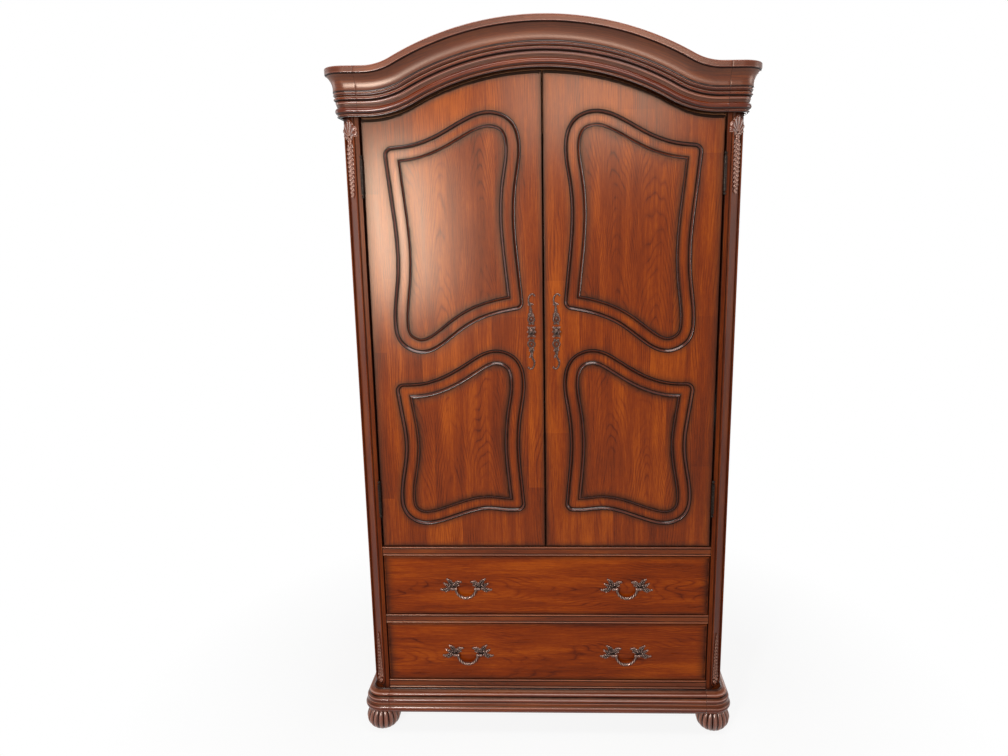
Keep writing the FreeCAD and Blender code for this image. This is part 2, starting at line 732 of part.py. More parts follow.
upper_panel, *upper_cuts = door_panel(True, upper_template, upper_template_size,
                                      upper_panel_z, upper_panel_height)
lower_panel, *lower_cuts = door_panel(False, lower_template, lower_template_size,
                                      lower_panel_z, lower_panel_height)
door = door_blank().cut(Part.Compound(upper_cuts)).cut(Part.Compound(lower_cuts))
rims = [e for e in edges_at(door, face_y)
        if e.BoundBox.XMin > panel_x0 - 5 and e.BoundBox.XMax < panel_x0 + panel_width + 5
        and e.BoundBox.ZMin > door_bottom + 1 and e.BoundBox.ZMax < door_apex - 1]
door = door.makeChamfer(panel_edge, rims)
for z in hinge_z:
    door = door.cut(leaf_mortise(z, True))
nodes["right_door_frame"] = door
nodes["right_upper_panel"] = upper_panel
nodes["right_lower_panel"] = lower_panel

# ---------------------------------------------------------------- door pulls
pull_x = 37.0                # pull from the centre line
pull_lift = 677.5            # pull's middle above the lower edges of the doors
pull_plate = 4.0             # thickness of the cast plate
scroll_reach = 108.0         # tips of the scrolls from the knob
knob_radius = 10.5


def flat_casting(stations):
    """A flat casting on the door face, its outline drawn round the pull's middle."""
    return Part.Face(arc_wire(stations, 0)).extrude(V(0, -pull_plate, 0))


def pull_scroll():
    """The upper scroll: it rises on one side and curls over to the other."""
    tip = scroll_reach
    return flat_casting([
        ((-4, 52), (-11, tip - 24)), ((-2, tip), (5, tip + 1)), ((11, tip - 7), (4, tip - 5)),
        ((-1, tip - 12), (-4, tip - 28)), ((4, 52), None)])


def door_pull():
    """One casting: a long leaf plate with an S of two scrolls, and a knob on a neck."""
    leaf_plate = flat_casting([((0, -58), (-10, 0)), ((0, 58), (10, 0))])
    collars = [cylinder(8.5, pull_plate + 2, V(0, 0, z), V(0, -1, 0)) for z in (-38, 38)]
    low_scroll = pull_scroll()
    low_scroll.rotate(V(0, 0, 0), V(0, 1, 0), 180)
    profile = Part.Wire([
        Part.makeLine(V(0, 0, 0), V(4.5, 0, 0)),
        Part.makeLine(V(4.5, 0, 0), V(4.5, -13, 0)),
        Part.Arc(V(4.5, -13, 0), V(knob_radius, -19, 0), V(5, -26, 0)).toShape(),
        Part.makeLine(V(5, -26, 0), V(0, -28, 0)),
        Part.makeLine(V(0, -28, 0), V(0, 0, 0))])
    knob = Part.Face(profile).revolve(V(0, 0, 0), V(0, 1, 0), 360)
    return fused([leaf_plate, pull_scroll(), low_scroll, knob] + collars)


for side, name in ((-1, "left_door_pull"), (1, "right_door_pull")):
    pull = door_pull()
    pull.translate(V(side * pull_x, face_y, door_bottom + pull_lift))
    nodes[name] = pull

# ---------------------------------------------------------------- catches
catch_width = 44.0
catch_height = 14.0
catch_depth = 16.0
catch_x = 60.0
strike_thickness = 1.5
catch_gap = 0.5
strike_margin = 3.0
catch_top = header_bottom
catch_y = door_back_y + strike_thickness + catch_gap
magnet = box(catch_x - catch_width / 2, catch_x + catch_width / 2, catch_y, catch_y + catch_depth,
             catch_top - catch_height, catch_top)
nodes["catch_magnets"] = group([magnet, mirrored(magnet)])
nodes["right_catch_plate"] = box(
    catch_x - catch_width / 2 + strike_margin, catch_x + catch_width / 2 - strike_margin,
    door_back_y, door_back_y + strike_thickness, catch_top - catch_height, catch_top - 1)

# ---------------------------------------------------------------- drawers
drawer_gap = 2.5
front_thickness = 20.0
drawer_side = 12.0
drawer_bottom = 6.0
drawer_rear_gap = 58.5       # drawer back to the cabinet's back panel
drawer_side_height = 160.0
runner_ledge = 8.0           # top of a runner above the rail in front of it
runner_play = 0.4            # drawer side to runner, below and beside
runner_guide = 70.0          # height of the runner's upright
groove_lift = 10.0           # drawer bottom above the lower edges of the sides
half_box = half_opening - 4.0
front_back_y = face_y + front_thickness
rear_y = inside_back_y - drawer_rear_gap

runners = []
for name, rail_bottom in (("lower", rail_z[0]), ("upper", rail_z[1])):
    opening_z = rail_bottom + rail_height
    ledge_top = opening_z + runner_ledge
    front = sym_box(half_opening - drawer_gap, face_y, front_back_y,
                    opening_z + drawer_gap, opening_z + drawer_opening - drawer_gap)
    nodes[name + "_drawer_front"] = front.makeFillet(door_edge, edges_at(front, face_y))
    side_z = ledge_top + runner_play
    side_board = box(half_box - drawer_side, half_box, front_back_y, rear_y,
                     side_z, side_z + drawer_side_height)
    floor_z = side_z + groove_lift
    groove = box(half_box - drawer_side, half_box - drawer_side / 2, front_back_y, rear_y,
                 floor_z, floor_z + drawer_bottom)
    side_board = side_board.cut(groove)
    nodes[name + "_drawer_sides"] = group([side_board, mirrored(side_board)])
    nodes[name + "_drawer_back"] = sym_box(half_box - drawer_side, rear_y - drawer_side, rear_y,
                                           floor_z + drawer_bottom, side_z + drawer_side_height)
    nodes[name + "_drawer_bottom"] = sym_box(half_box - drawer_side / 2, front_back_y, rear_y,
                                             floor_z, floor_z + drawer_bottom)
    upright = box(half_box + runner_play, half_inside, post_back_y, inside_back_y,
                  opening_z, opening_z + runner_guide)
    ledge = box(half_box - drawer_side - 4, half_inside, post_back_y, inside_back_y,
                ledge_top - 6, ledge_top)
    runner = fused([upright, ledge])
    runners += [runner, mirrored(runner)]
nodes["drawer_runners"] = group(runners)

# ---------------------------------------------------------------- drawer pulls
drawer_pull_x = 255.0
drawer_pull_drop = 7.0       # bail axis below the middle of the front
bail_half = 31.5             # bail radius at its centre line
bail_radius = 4.5
bail_pin_radius = 2.2
bail_pin_clear = 0.07
bail_forward = 11.0          # bail axis in front of the drawer face
bail_boss_radius = 5.0
ear_x = 42.0
ear_radius = 5.0
ear_length = 8.0
ear_play = 0.5               # bail boss to the barrel beside it
leaf_plate_thickness = 3.0
# outline of one leaf end: outwards from the pull's middle, and up from the bail axis
leaf_outline = [(31, -9), (26, 4), (15, 19), (33, 17), (54, 31), (60, 13), (79, -2), (66, -14),
                (48, -9)]


def leaf_end():
    """One cast leaf end with the barrel that holds a bail pin, standing on a short post."""
    curve = Part.BSplineCurve()
    curve.interpolate([V(x, 0, z) for x, z in leaf_outline], PeriodicFlag=True)
    plate = Part.Face(Part.Wire(curve.toShape())).extrude(V(0, -leaf_plate_thickness, 0))
    post = cylinder(ear_radius - 1.2, bail_forward, V(ear_x, 0, 0), V(0, -1, 0))
    start = V(ear_x - ear_length / 2, -bail_forward, 0)
    barrel = cylinder(ear_radius, ear_length, start, V(1, 0, 0))
    bore = cylinder(bail_pin_radius + bail_pin_clear, ear_length, start, V(1, 0, 0))
    return fused([plate, post, barrel]).cut(bore)


def bail():
    """A half ring with a boss and a pin turned out at each end."""
    ring = bent_rod(bail_radius, V(bail_half, 0, 0), V(0, 0, 1), V(0, 0, 0), V(0, 1, 0), 180)
    inner = bail_half - bail_radius
    pin_end = ear_x + ear_length / 2 + 1.0
    bosses = [cylinder(bail_boss_radius, ear_x - ear_length / 2 - ear_play - inner,
                       V(side * inner, 0, 0), V(side, 0, 0)) for side in (-1, 1)]
    pins = [cylinder(bail_pin_radius, pin_end - inner, V(side * inner, 0, 0), V(side, 0, 0))
            for side in (-1, 1)]
    hanging = fused([ring] + bosses + pins)
    hanging.translate(V(0, -bail_forward, 0))
    return hanging


for name, rail_bottom in (("lower", rail_z[0]), ("upper", rail_z[1])):
    axis_z = rail_bottom + rail_height + drawer_opening / 2 - drawer_pull_drop
    ends = []
    for side, word in ((-1, "left"), (1, "right")):
        place = V(side * drawer_pull_x, face_y, axis_z)
        pair = [leaf_end(), mirrored(leaf_end())]
        for end in pair:
            end.translate(place)
        ends += pair
        ring = bail()
        ring.translate(place)
        nodes[name + "_" + word + "_bail"] = ring
    nodes[name + "_pull_mounts"] = group(ends)

# ---------------------------------------------------------------- the other side
for name in [n for n in nodes if "right_" in n]:
    twin = name.replace("right_", "left_")
    if twin not in nodes:
        nodes[twin] = mirrored(nodes[name])

for name, shape in nodes.items():
    shape.exportStep("parts/" + name + ".step")
print(len(nodes), "nodes")
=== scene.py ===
"""The looks of the television armoire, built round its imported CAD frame.

Metres, +Z up, the doors face -Y. Sizes come from the frame where it has them. Profiles and
reliefs are written in millimetres.
"""
import bmesh
import bpy
import math
import numpy as np
from mathutils import Matrix, Vector
from mathutils.geometry import delaunay_2d_cdt, tessellate_polygon


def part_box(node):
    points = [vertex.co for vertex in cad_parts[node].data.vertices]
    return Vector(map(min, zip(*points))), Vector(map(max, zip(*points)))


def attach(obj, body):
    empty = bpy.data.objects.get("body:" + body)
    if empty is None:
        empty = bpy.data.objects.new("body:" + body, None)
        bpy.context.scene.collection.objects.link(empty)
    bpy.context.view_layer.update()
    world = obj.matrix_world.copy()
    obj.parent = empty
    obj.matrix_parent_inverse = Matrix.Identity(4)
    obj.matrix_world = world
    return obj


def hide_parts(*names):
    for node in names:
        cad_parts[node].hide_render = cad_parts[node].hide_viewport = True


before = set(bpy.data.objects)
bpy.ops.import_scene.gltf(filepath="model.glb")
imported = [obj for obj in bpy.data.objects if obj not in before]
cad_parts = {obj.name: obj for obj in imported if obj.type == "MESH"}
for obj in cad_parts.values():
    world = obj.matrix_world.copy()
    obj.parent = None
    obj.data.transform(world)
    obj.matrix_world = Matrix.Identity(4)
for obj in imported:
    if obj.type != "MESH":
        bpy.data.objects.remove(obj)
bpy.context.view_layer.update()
MM = 0.001
SIDES = (("right", False), ("left", True))     # the left side is the right one, mirrored
KINDS = ("upper", "lower")
WELD = 0.01 * MM                # points closer than this become one
BACK = 0.3 * MM                 # a profile's points with less reach are its back


# ---------------- places, from the frame
post_low, post_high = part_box("right_corner_post")
door_low, door_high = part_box("right_door_frame")
panel_low, panel_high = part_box("right_side_panel")
plinth_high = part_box("plinth_front")[1]
half_opening, half_body, stile_y = post_low.x, panel_high.x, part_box("door_rail")[0].y
foot_height, plinth_top = panel_low.z, plinth_high.z
face_y, door_back_y = door_low.y, door_high.y
door_x0, door_x1 = door_low.x, door_high.x
door_bottom, door_apex = door_low.z, door_high.z
arch_rise, flare_radius, flat_end = 124 * MM, 300 * MM, 23.5 * MM
cornice_gap = 5 * MM
door_side_top = door_apex - arch_rise
cornice_side_z = door_side_top + cornice_gap
flare_x = half_opening - flat_end
arch_radius = (flare_x ** 2 / arch_rise + arch_rise) / 2 - flare_radius
arch_centre_z = door_apex - arch_radius
flare_centre_z = door_side_top + flare_radius
arch_angle = math.atan2(flare_x, flare_centre_z - arch_centre_z)
cant = 37 * MM
cornice_corner, plinth_corner = 22 * MM, 26 * MM


# ---------------- shaders
class Wire:
    """A node's output, which takes part in sums like a number."""

    def __init__(self, look, socket):
        self.look, self.socket = look, socket

    def maths(self, operation, other=0.0, clamp=False):
        return self.look.wire("Math", {0: self, 1: other}, operation=operation, use_clamp=clamp)

    def remap(self, low, high, to_low=0.0, to_high=1.0):
        return self.look.wire("MapRange", {0: self, 1: low, 2: high, 3: to_low, 4: to_high},
                              clamp=True)


for method, operation in (("add", "ADD"), ("sub", "SUBTRACT"), ("mul", "MULTIPLY"),
                          ("truediv", "DIVIDE"), ("pow", "POWER")):
    setattr(Wire, f"__{method}__",
            lambda self, other, operation=operation: self.maths(operation, other))


class Look:
    """The node tree of a material or world. An input is a value or another node's Wire."""

    def __init__(self, owner):
        owner.use_nodes = True
        self.tree = owner.node_tree
        self.tree.nodes.clear()

    def node(self, kind, inputs=None, **settings):
        made = self.tree.nodes.new("ShaderNode" + kind)
        for key, value in settings.items():
            setattr(made, key, value)
        for key, value in (inputs or {}).items():
            if isinstance(value, Wire):
                self.tree.links.new(value.socket, made.inputs[key])
            else:
                made.inputs[key].default_value = value
        return made

    def wire(self, kind, inputs=None, output=0, **settings):
        return Wire(self, self.node(kind, inputs, **settings).outputs[output])

    def mix(self, factor, a, b):
        return self.wire("Mix", {0: factor, 6: a, 7: b}, 2, data_type="RGBA")

    def noise(self, vector, scale, detail, roughness):
        return self.wire("TexNoise", {"Vector": vector, "Scale": scale, "Detail": detail,
                                      "Roughness": roughness})

    def attribute(self, name, output="Fac"):
        return self.wire("Attribute", None, output, attribute_name=name)

    def principled(self, colour, rough, height, strength=0.3):
        """The shader with its fine bump, wired to the output."""
        bump = self.wire("Bump", {"Strength": strength, "Distance": BUMP_DEPTH,
                                  "Height": height})
        shader = self.node("BsdfPrincipled", {"Base Color": colour, "Roughness": rough,
                                              "Normal": bump})
        self.node("OutputMaterial", {"Surface": Wire(self, shader.outputs[0])})
        return shader


def grain_axes(look, source):
    """Across, along and through the grain: from a mesh's own grain, or from a row axis."""
    if source == "mesh":
        vector, order = look.attribute("grain", "Vector"), (0, 1, 2)
    else:
        vector = look.wire("TexCoord", None, "Object")
        order = {"X": (2, 0, 1), "Y": (0, 1, 2), "Z": (0, 2, 1)}[source]
    split = look.node("SeparateXYZ", {0: vector})
    return [Wire(look, split.outputs[i]) for i in order]


def toned(colour, share):
    """A colour times a share, with its alpha."""
    return (*[c * share for c in colour], 1)


BUMP_DEPTH = 0.0002
GLAZE_AND_SHADE = (0.012, 0.0045, 0.003, 1)
# pale colour for crests: rubbed wear and painted highlight
RUBBED_AND_HIGHLIGHT = (0.60, 0.36, 0.28, 1)


def wood(name, dark, mid, light, source="mesh", rings=34.0, cathedral=0.0, rise=0.3, stave=0.0,
         block=0.0, matched=1.0, gloss=0.30, with_glaze_and_shade=True, shine=0.2, tint=(1.0, 0.74, 0.53),
         grip=0.22, dull=0.95):
    """Stained hardwood: growth lines, fine streaks, pores, stave joints and a dark glaze that also
    paints shade, with pale rubbed wear and painted highlight on crests.

    rings is how many growth lines cross 0.2 m; cathedral bends them into arches, which climb
    faster with a smaller rise. matched is how much the staves differ in tone. The glaze and its
    painted shade are rougher by grip, and lose the share dull of the shine.
    """
    material = bpy.data.materials.new(name)
    look = Look(material)
    u, v, w = grain_axes(look, source)

    def grain_noise(cross, along, detail=2.0, roughness=0.5):
        stretched = look.wire("CombineXYZ", {0: u * cross, 1: v * along, 2: w * cross})
        return look.noise(stretched, 1.0, detail, roughness)

    def draw(number):
        return look.wire("TexWhiteNoise", {1: number}, noise_dimensions="1D")

    across, chance = u, None
    if stave:
        number = (u / stave).maths("FLOOR")
        chance = draw(number)
        v = v + chance * 3.0
        across = u - (number + 0.5) * stave
    if block:
        chance = draw(number * 7.31 + (v / block).maths("FLOOR"))
    warp, wobble = grain_noise(9, 1.6) - 0.5, grain_noise(60, 14) - 0.5
    line = v * rise + across.maths("ABSOLUTE") ** 1.7 * cathedral if cathedral else u
    line = line + warp * 0.10 + wobble * 0.004
    cycle = (line * (rings * 5.0)).maths("FRACT")
    ridge = (cycle * 2.0 - 1.0).maths("ABSOLUTE") ** 4.0 * grain_noise(22, 6).remap(0.38, 0.62)
    streak = grain_noise(300, 9, 5.0, 0.64)
    broad = grain_noise(26, 3.0, 3.0)
    dash = grain_noise(700, 45, 3.0, 0.6)
    tone = (streak - 0.5) * 0.56 + 0.5
    for value, middle, strength in ((broad, 0.5, 0.80), (dash, 0.5, 0.45), (ridge, 0.1, -0.28),
                                    (chance, 0.5, 0.22 * matched)):
        if value is not None:
            tone = tone + (value - middle) * strength
    ramp = look.node("ValToRGB", {0: tone})
    steps = ramp.color_ramp.elements
    steps[0].position, steps[1].position = 0.2, 0.85
    steps.new(0.5)
    for step, colour in zip(steps, (dark, mid, light)):
        step.color = toned(colour, 1)
    pored = dash.remap(0.62, 0.74, 0.0, 0.4)
    colour = look.mix(pored, Wire(look, ramp.outputs[0]), toned(dark, 0.5))
    rough = broad.remap(0.3, 0.7, gloss - 0.01, gloss + 0.02)
    if with_glaze_and_shade:
        patch = grain_noise(60, 25, 3.0, 0.6).remap(0.3, 0.7, 0.82, 1.05)
        # the mask is glaze and painted shade above 0, and rubbed wear with painted highlight below
        # 0
        glaze_and_shade = look.attribute("glaze_and_shade")
        rubbed_and_highlight = (glaze_and_shade * -1.0).maths("MULTIPLY", patch, True)
        glaze_and_shade = glaze_and_shade.maths("MULTIPLY", patch, True)
        colour = look.mix(rubbed_and_highlight, look.mix(glaze_and_shade, colour, GLAZE_AND_SHADE), RUBBED_AND_HIGHLIGHT)
        rough = rough + glaze_and_shade * grip
    shader = look.principled(colour, rough, streak * 0.5 + pored * -0.8)
    shader.inputs["Specular Tint"].default_value = (*tint, 1)
    shader.inputs["Specular IOR Level"].default_value = shine
    # the shine falls away where the glaze and painted shade is thick, which keeps the painted
    # shade dark
    if with_glaze_and_shade and dull:
        level = glaze_and_shade ** 4.0 * (-shine * dull) + shine
        look.tree.links.new(level.socket, shader.inputs["Specular IOR Level"])
    return material


def metal(name, dark, rub, roughness, rubbed=True):
    """Cast metal: a dark patina with brighter worn places and a fine pitted surface."""
    material = bpy.data.materials.new(name)
    look = Look(material)
    place = look.wire("TexCoord", None, "Object")
    patch, pits = look.noise(place, 260.0, 4.0, 0.6), look.noise(place, 1900.0, 3.0, 0.6)
    if rubbed:
        worn = look.attribute("worn").maths("MULTIPLY", patch.remap(0.35, 0.65, 0.5, 1.0), True)
    else:
        worn = patch.remap(0.5, 0.75, 0.0, 0.6)
    shader = look.principled(look.mix(worn, (*dark, 1), (*rub, 1)),
                             pits.remap(0.3, 0.7, roughness - 0.06, roughness + 0.10), pits)
    shader.inputs["Metallic"].default_value = 0.9
    return material


def moulded_plastic(name, colour):
    """Matte plastic, a little cloudy and with a fine skin."""
    material = bpy.data.materials.new(name)
    look = Look(material)
    place = look.wire("TexCoord", None, "Object")
    cloud, skin = look.noise(place, 90.0, 4.0, 0.6), look.noise(place, 1600.0, 2.0, 0.5)
    look.principled(look.mix(cloud, toned(colour, 0.8), toned(colour, 1)),
                    cloud.remap(0.3, 0.7, 0.42, 0.55), skin, 0.2)
    return material


def cherry(*shares):
    """The stain's dark, middle and light tone, each times its share."""
    tones = (0.067, 0.0054, 0.0002), (0.170, 0.0210, 0.0004), (0.35, 0.067, 0.0022)
    return [toned(tone, share)[:3] for tone, share in zip(tones, shares)]


VENEER = {"gloss": 0.225, "shine": 0.32, "grip": 0.08, "dull": 0.9}
PALE_BOX = (0.36, 0.22, 0.11), (0.52, 0.36, 0.20), (0.63, 0.47, 0.29)
materials = {
    "case": wood("case_wood", *cherry(0.8, 0.75, 0.75), gloss=0.25, shine=0.41),
    "crown": wood("cornice_wood", *cherry(0.7, 0.65, 0.7), gloss=0.25, shine=0.71,
                  tint=(1.0, 0.76, 0.60)),
    "post": wood("post_wood", *cherry(0.8, 0.75, 0.8), gloss=0.28, shine=0.15),
    "case_z": wood("case_wood_upright", *cherry(0.9, 0.85, 0.85), source="Z", gloss=0.40,
                   with_glaze_and_shade=False, shine=0.12),
    # wood at a fifth of its tone: painted shadow on the frieze board, seen in the gap over the
    # doors
    "frieze_shadow": wood("frieze_painted_shadow", *cherry(0.2, 0.2, 0.2), source="Z", with_glaze_and_shade=False,
                   shine=0.05),
    "door": wood("door_veneer", *cherry(1, 1, 1), rings=30, stave=0.105, block=0.46,
                 **VENEER),
    "field": wood("panel_veneer", *cherry(1, 1, 1), rings=26, cathedral=5.5,
                  rise=0.17, stave=0.108, matched=0.25, **VENEER),
    "band": wood("band_veneer", *cherry(1, 1, 1), rings=30, **VENEER),
    # dark glazed wood for the contour slopes, whose glaze mask also paints shade
    "edge": wood("glazed_shaded_edge", *cherry(0.7, 0.7, 0.7), gloss=0.17, shine=0.37,
                 tint=(1.0, 0.92, 0.88), grip=0.03, dull=0.0),
    "drawer": wood("drawer_veneer", *cherry(1, 1.08, 1.05), rings=40, cathedral=2.6,
                   rise=0.07, gloss=0.28, shine=0.19),
    "carved": wood("carved_wood", *cherry(0.8, 0.8, 0.9), gloss=0.22, shine=1.0,
                   tint=(1.0, 0.84, 0.74), dull=0.85),
    # a darker, duller copy of the carved wood: painted shade for the lower drops
    "carved_shaded": wood("carved_wood_shaded", *cherry(0.7, 0.7, 0.7), gloss=0.26,
                       shine=0.34, tint=(1.0, 0.78, 0.62)),
    "inner_x": wood("inner_wood", (0.14, 0.05, 0.02), (0.25, 0.10, 0.045),
                    (0.33, 0.15, 0.07), source="X", gloss=0.42, with_glaze_and_shade=False),
    "box_y": wood("drawer_box_wood", *PALE_BOX, source="Y", gloss=0.5, with_glaze_and_shade=False),
    "box_x": wood("drawer_box_wood_across", *PALE_BOX, source="X", gloss=0.5, with_glaze_and_shade=False),
    "board_x": wood("stained_board", (0.10, 0.05, 0.03), (0.16, 0.085, 0.05),
                    (0.21, 0.12, 0.07), source="X", rings=8, gloss=0.6, with_glaze_and_shade=False),
    "hardware": metal("antique_casting", (0.014, 0.008, 0.006), (0.68, 0.42, 0.34), 0.24),
    "hardware_plain": metal("antique_turned", (0.012, 0.008, 0.006), (0.08, 0.055, 0.043), 0.40,
                            rubbed=False),
    "steel": metal("plated_steel", (0.45, 0.43, 0.40), (0.62, 0.60, 0.57), 0.32, rubbed=False),
    "plastic": moulded_plastic("catch_plastic", (0.06, 0.03, 0.018)),
}


# ---------------- meshes
def stack(*columns):
    """Columns side by side. A number fills its whole column."""
    return np.column_stack(np.broadcast_arrays(*columns))


def run_of(line):
    """How far each point of a line is along it."""
    return np.concatenate([[0], np.cumsum(np.linalg.norm(np.diff(line, axis=0), axis=1))])


def at_runs(line, places):
    """Points of a line at some distances along it."""
    return np.column_stack([np.interp(places, run_of(line), column) for column in line.T])


def circle(count):
    return np.arange(count) * 2 * math.pi / count


def peak(values, middle, width):
    """1 at the middle, falling away over the width."""
    return np.exp(-((values - middle) / width) ** 2)


def strip_faces(rows, columns):
    """Quads between closed rows of points."""
    return [(i * columns + j, i * columns + k, (i + 1) * columns + k, (i + 1) * columns + j)
            for i in range(rows - 1) for j, k in zip(range(columns), [*range(1, columns), 0])]


class Sheet:
    """Collects vertices with their grain and their glaze and painted shade, and the faces between
    them.
    """

    def __init__(self):
        self.points, self.grain, self.mask, self.faces, self.looks = [], [], [], [], []
        self.count = 0

    def add(self, points, grain, mask, faces, look=0):
        """look is 0 for the piece's own material, 1 for an edge's and 2 for a band's."""
        self.looks += [int(i) for i in np.broadcast_to(look, len(faces))]
        for rows, new in ((self.points, points), (self.grain, grain), (self.mask, mask)):
            rows.append(np.asarray(new, float))
        self.faces += [tuple(i + self.count for i in face) for face in faces]
        self.count += len(points)

    def tube(self, rings, grain, masks, cap=None, look=0):
        """Rings of points joined in a row, and closed at both ends with the cap's faces."""
        columns = len(rings[0])
        faces = strip_faces(len(rings), columns)
        caps = [tuple(row * columns + i for i in face) for row in (0, len(rings) - 1)
                for face in cap or [range(columns)]]
        self.add(np.concatenate(rings), np.concatenate(grain), np.concatenate(masks),
                 faces + caps, [*np.broadcast_to(look, len(faces)), *[0] * len(caps)])

    def build(self, name, body, look, replaces, mirror=False, sharp=40.0):
        """The piece, in its place on its body, instead of the CAD nodes that it replaces."""
        points = np.concatenate(self.points) * ((-1, 1, 1) if mirror else 1)
        faces = [face[::-1] for face in self.faces] if mirror else self.faces
        mesh = bpy.data.meshes.new(name)
        mesh.from_pydata(points.tolist(), [], faces)
        grain = mesh.attributes.new("grain", "FLOAT_VECTOR", "POINT")
        grain.data.foreach_set("vector", np.concatenate(self.grain).ravel())
        mask_name = "worn" if look == "hardware" else "glaze_and_shade"
        mask = mesh.attributes.new(mask_name, "FLOAT", "POINT")
        mask.data.foreach_set("value", np.concatenate(self.mask))
        for key in (look, "edge", "band")[:max(self.looks) + 1]:
            mesh.materials.append(materials[key])
        mesh.polygons.foreach_set("material_index", self.looks)
        work = bmesh.new()
        work.from_mesh(mesh)
        bmesh.ops.remove_doubles(work, verts=work.verts, dist=WELD)
        bmesh.ops.recalc_face_normals(work, faces=work.faces)
        work.to_mesh(mesh)
        work.free()
        mesh.shade_smooth()
        mesh.set_sharp_from_angle(angle=math.radians(sharp))
        piece = bpy.data.objects.new(name, mesh)
        bpy.context.scene.collection.objects.link(piece)
        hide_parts(*replaces)
        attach(piece, body)


def inside(points, loop):
    """Which 2-D points lie inside a closed loop."""
    x, z = points[:, 0][:, None], points[:, 1][:, None]
    (ax, az), (bx, bz) = loop.T, np.roll(loop, -1, axis=0).T
    slope = (bx - ax) * (z - az) / np.where(bz == az, 1e-12, bz - az)
    return (((az > z) != (bz > z)) & (x < slope + ax)).sum(1) % 2 == 1


def distance_to(points, loop, chunk=2000):
    """Distance of 2-D points from a closed loop."""
    ab = np.roll(loop, -1, axis=0) - loop
    long2 = np.maximum((ab ** 2).sum(1), 1e-18)
    best = []
    for start in range(0, len(points), chunk):
        p = points[start:start + chunk, None, :] - loop
        t = np.clip((p * ab).sum(2) / long2, 0, 1)
        best.append(np.sqrt(((p - t[..., None] * ab) ** 2).sum(2).min(1)))
    return np.concatenate(best)


def flat_region(outer, holes, spacing):
    """Triangles that fill an outline with holes, with a grid of points inside."""
    def within(points):
        keep = inside(points, outer)
        for hole in holes:
            keep &= ~inside(points, hole)
        return keep

    loops, grid = [outer, *holes], []
    if spacing:
        xs, zs = (np.arange(low + spacing / 2, high, spacing)
                  for low, high in zip(outer.min(0), outer.max(0)))
        grid = np.array([(x, z) for x in xs for z in zs])
        grid = grid[within(grid)]
        for loop in loops:
            grid = grid[distance_to(grid, loop) > spacing * 0.45]
    points, edges = [], []
    for loop in loops:
        start, size = len(points), len(loop)
        points += [Vector(p) for p in loop]
        edges += [(start + i, start + (i + 1) % size) for i in range(size)]
    points += [Vector(p) for p in grid]
    found, _, triangles, *_ = delaunay_2d_cdt(points, edges, [], 0, 1e-7)
    found = np.array([tuple(p) for p in found])
    centres = np.array([found[list(t)].mean(0) for t in triangles])
    return found, [t for t, keep in zip(triangles, within(centres)) if keep]


def plate(sheet, outer, holes, y, facing, grain, mask, spacing=None, look=0):
    """A flat face in a plane across Y. facing is -1 towards the front; mask may be a number."""
    flat, triangles = flat_region(outer, holes, spacing)
    points = stack(flat[:, 0], y, flat[:, 1])
    shade = mask(flat) if callable(mask) else np.full(len(flat), mask)
    sheet.add(points, grain(points), shade, [t[::-facing] for t in triangles], look)


def rows_between(sheet, loops, depths, grain, masks, look=0):
    """Quads between loops of equal length, each at its own depth along Y."""
    columns = len(loops[0])
    points = np.concatenate([stack(loop[:, 0], y, loop[:, 1]) for loop, y in zip(loops, depths)])
    mask = np.concatenate([np.broadcast_to(m, columns) for m in masks])
    sheet.add(points, grain(points), mask, strip_faces(len(loops), columns), look)


def stepped(outline, steps, front):
    """Loops and depths for steps of (inset, drop) in millimetres."""
    return [outline(inset * MM) for inset, _ in steps], [front + drop * MM for _, drop in steps]


def straight(a, b, count):
    """Points from a to b, without the last."""
    return (np.linspace(0, 1, count)[:, None] * (b - a) + a)[:-1]


def arc3(a, b, c, step=0.6 * MM):
    """Points on the arc through three points, without the last."""
    a, b, c = (np.array(p, float) for p in (a, b, c))
    centre = np.linalg.solve(np.array([b - a, c - a]),
                             np.array([(b @ b - a @ a) / 2, (c @ c - a @ a) / 2]))
    radius = np.linalg.norm(a - centre)
    first, second, third = (math.atan2(*(p - centre)[::-1]) for p in (a, b, c))
    turn = (third - first) % (2 * math.pi)
    if (second - first) % (2 * math.pi) > turn:
        turn -= 2 * math.pi
    count = max(3, int(abs(turn) * radius / step))
    return [centre + radius * np.array([math.cos(first + turn * i / count),
                                        math.sin(first + turn * i / count)])
            for i in range(count)]


def profile_line(steps):
    """A closed profile, its corners softened. A step is where a straight line starts, or
    where an arc starts and a point it passes."""
    points = []
    for step, following in zip(steps, steps[1:] + steps[:1]):
        start, middle, end = (np.array(p) * MM for p in (step[:2], step[2:], following[:2]))
        if len(middle):
            points += arc3(start, middle, end)
        else:
            count = max(1, int(np.linalg.norm(end - start) / (0.8 * MM)))
            points += [start + (end - start) * i / count for i in range(min(count, 60))]
    line = np.array(points)
    for _ in range(3):
        line = (np.roll(line, 1, 0) + 2 * line + np.roll(line, -1, 0)) / 4
    return line


def hollowness(line, reach=4 * MM):
    """1 where a closed profile has a groove, 0 where it is flat and -1 on a crest."""
    size, run = len(line), np.linalg.norm(np.roll(line, -1, 0) - line, axis=1)
    out = []
    for i in range(size):
        ends = []
        for way in (-1, 1):
            j, gone = i, 0.0
            while gone < reach:
                gone += run[(j if way > 0 else j - 1) % size]
                j += way
            ends.append(line[j % size] - line[i])
        a, b = ends
        out.append(math.atan2(a[0] * b[1] - a[1] * b[0], a @ b) % (2 * math.pi))
    out = np.array(out)
    if np.median(out) > math.pi * 1.02:
        out = 2 * math.pi - out
    return np.clip((math.pi - out) / 1.3, -1, 1)


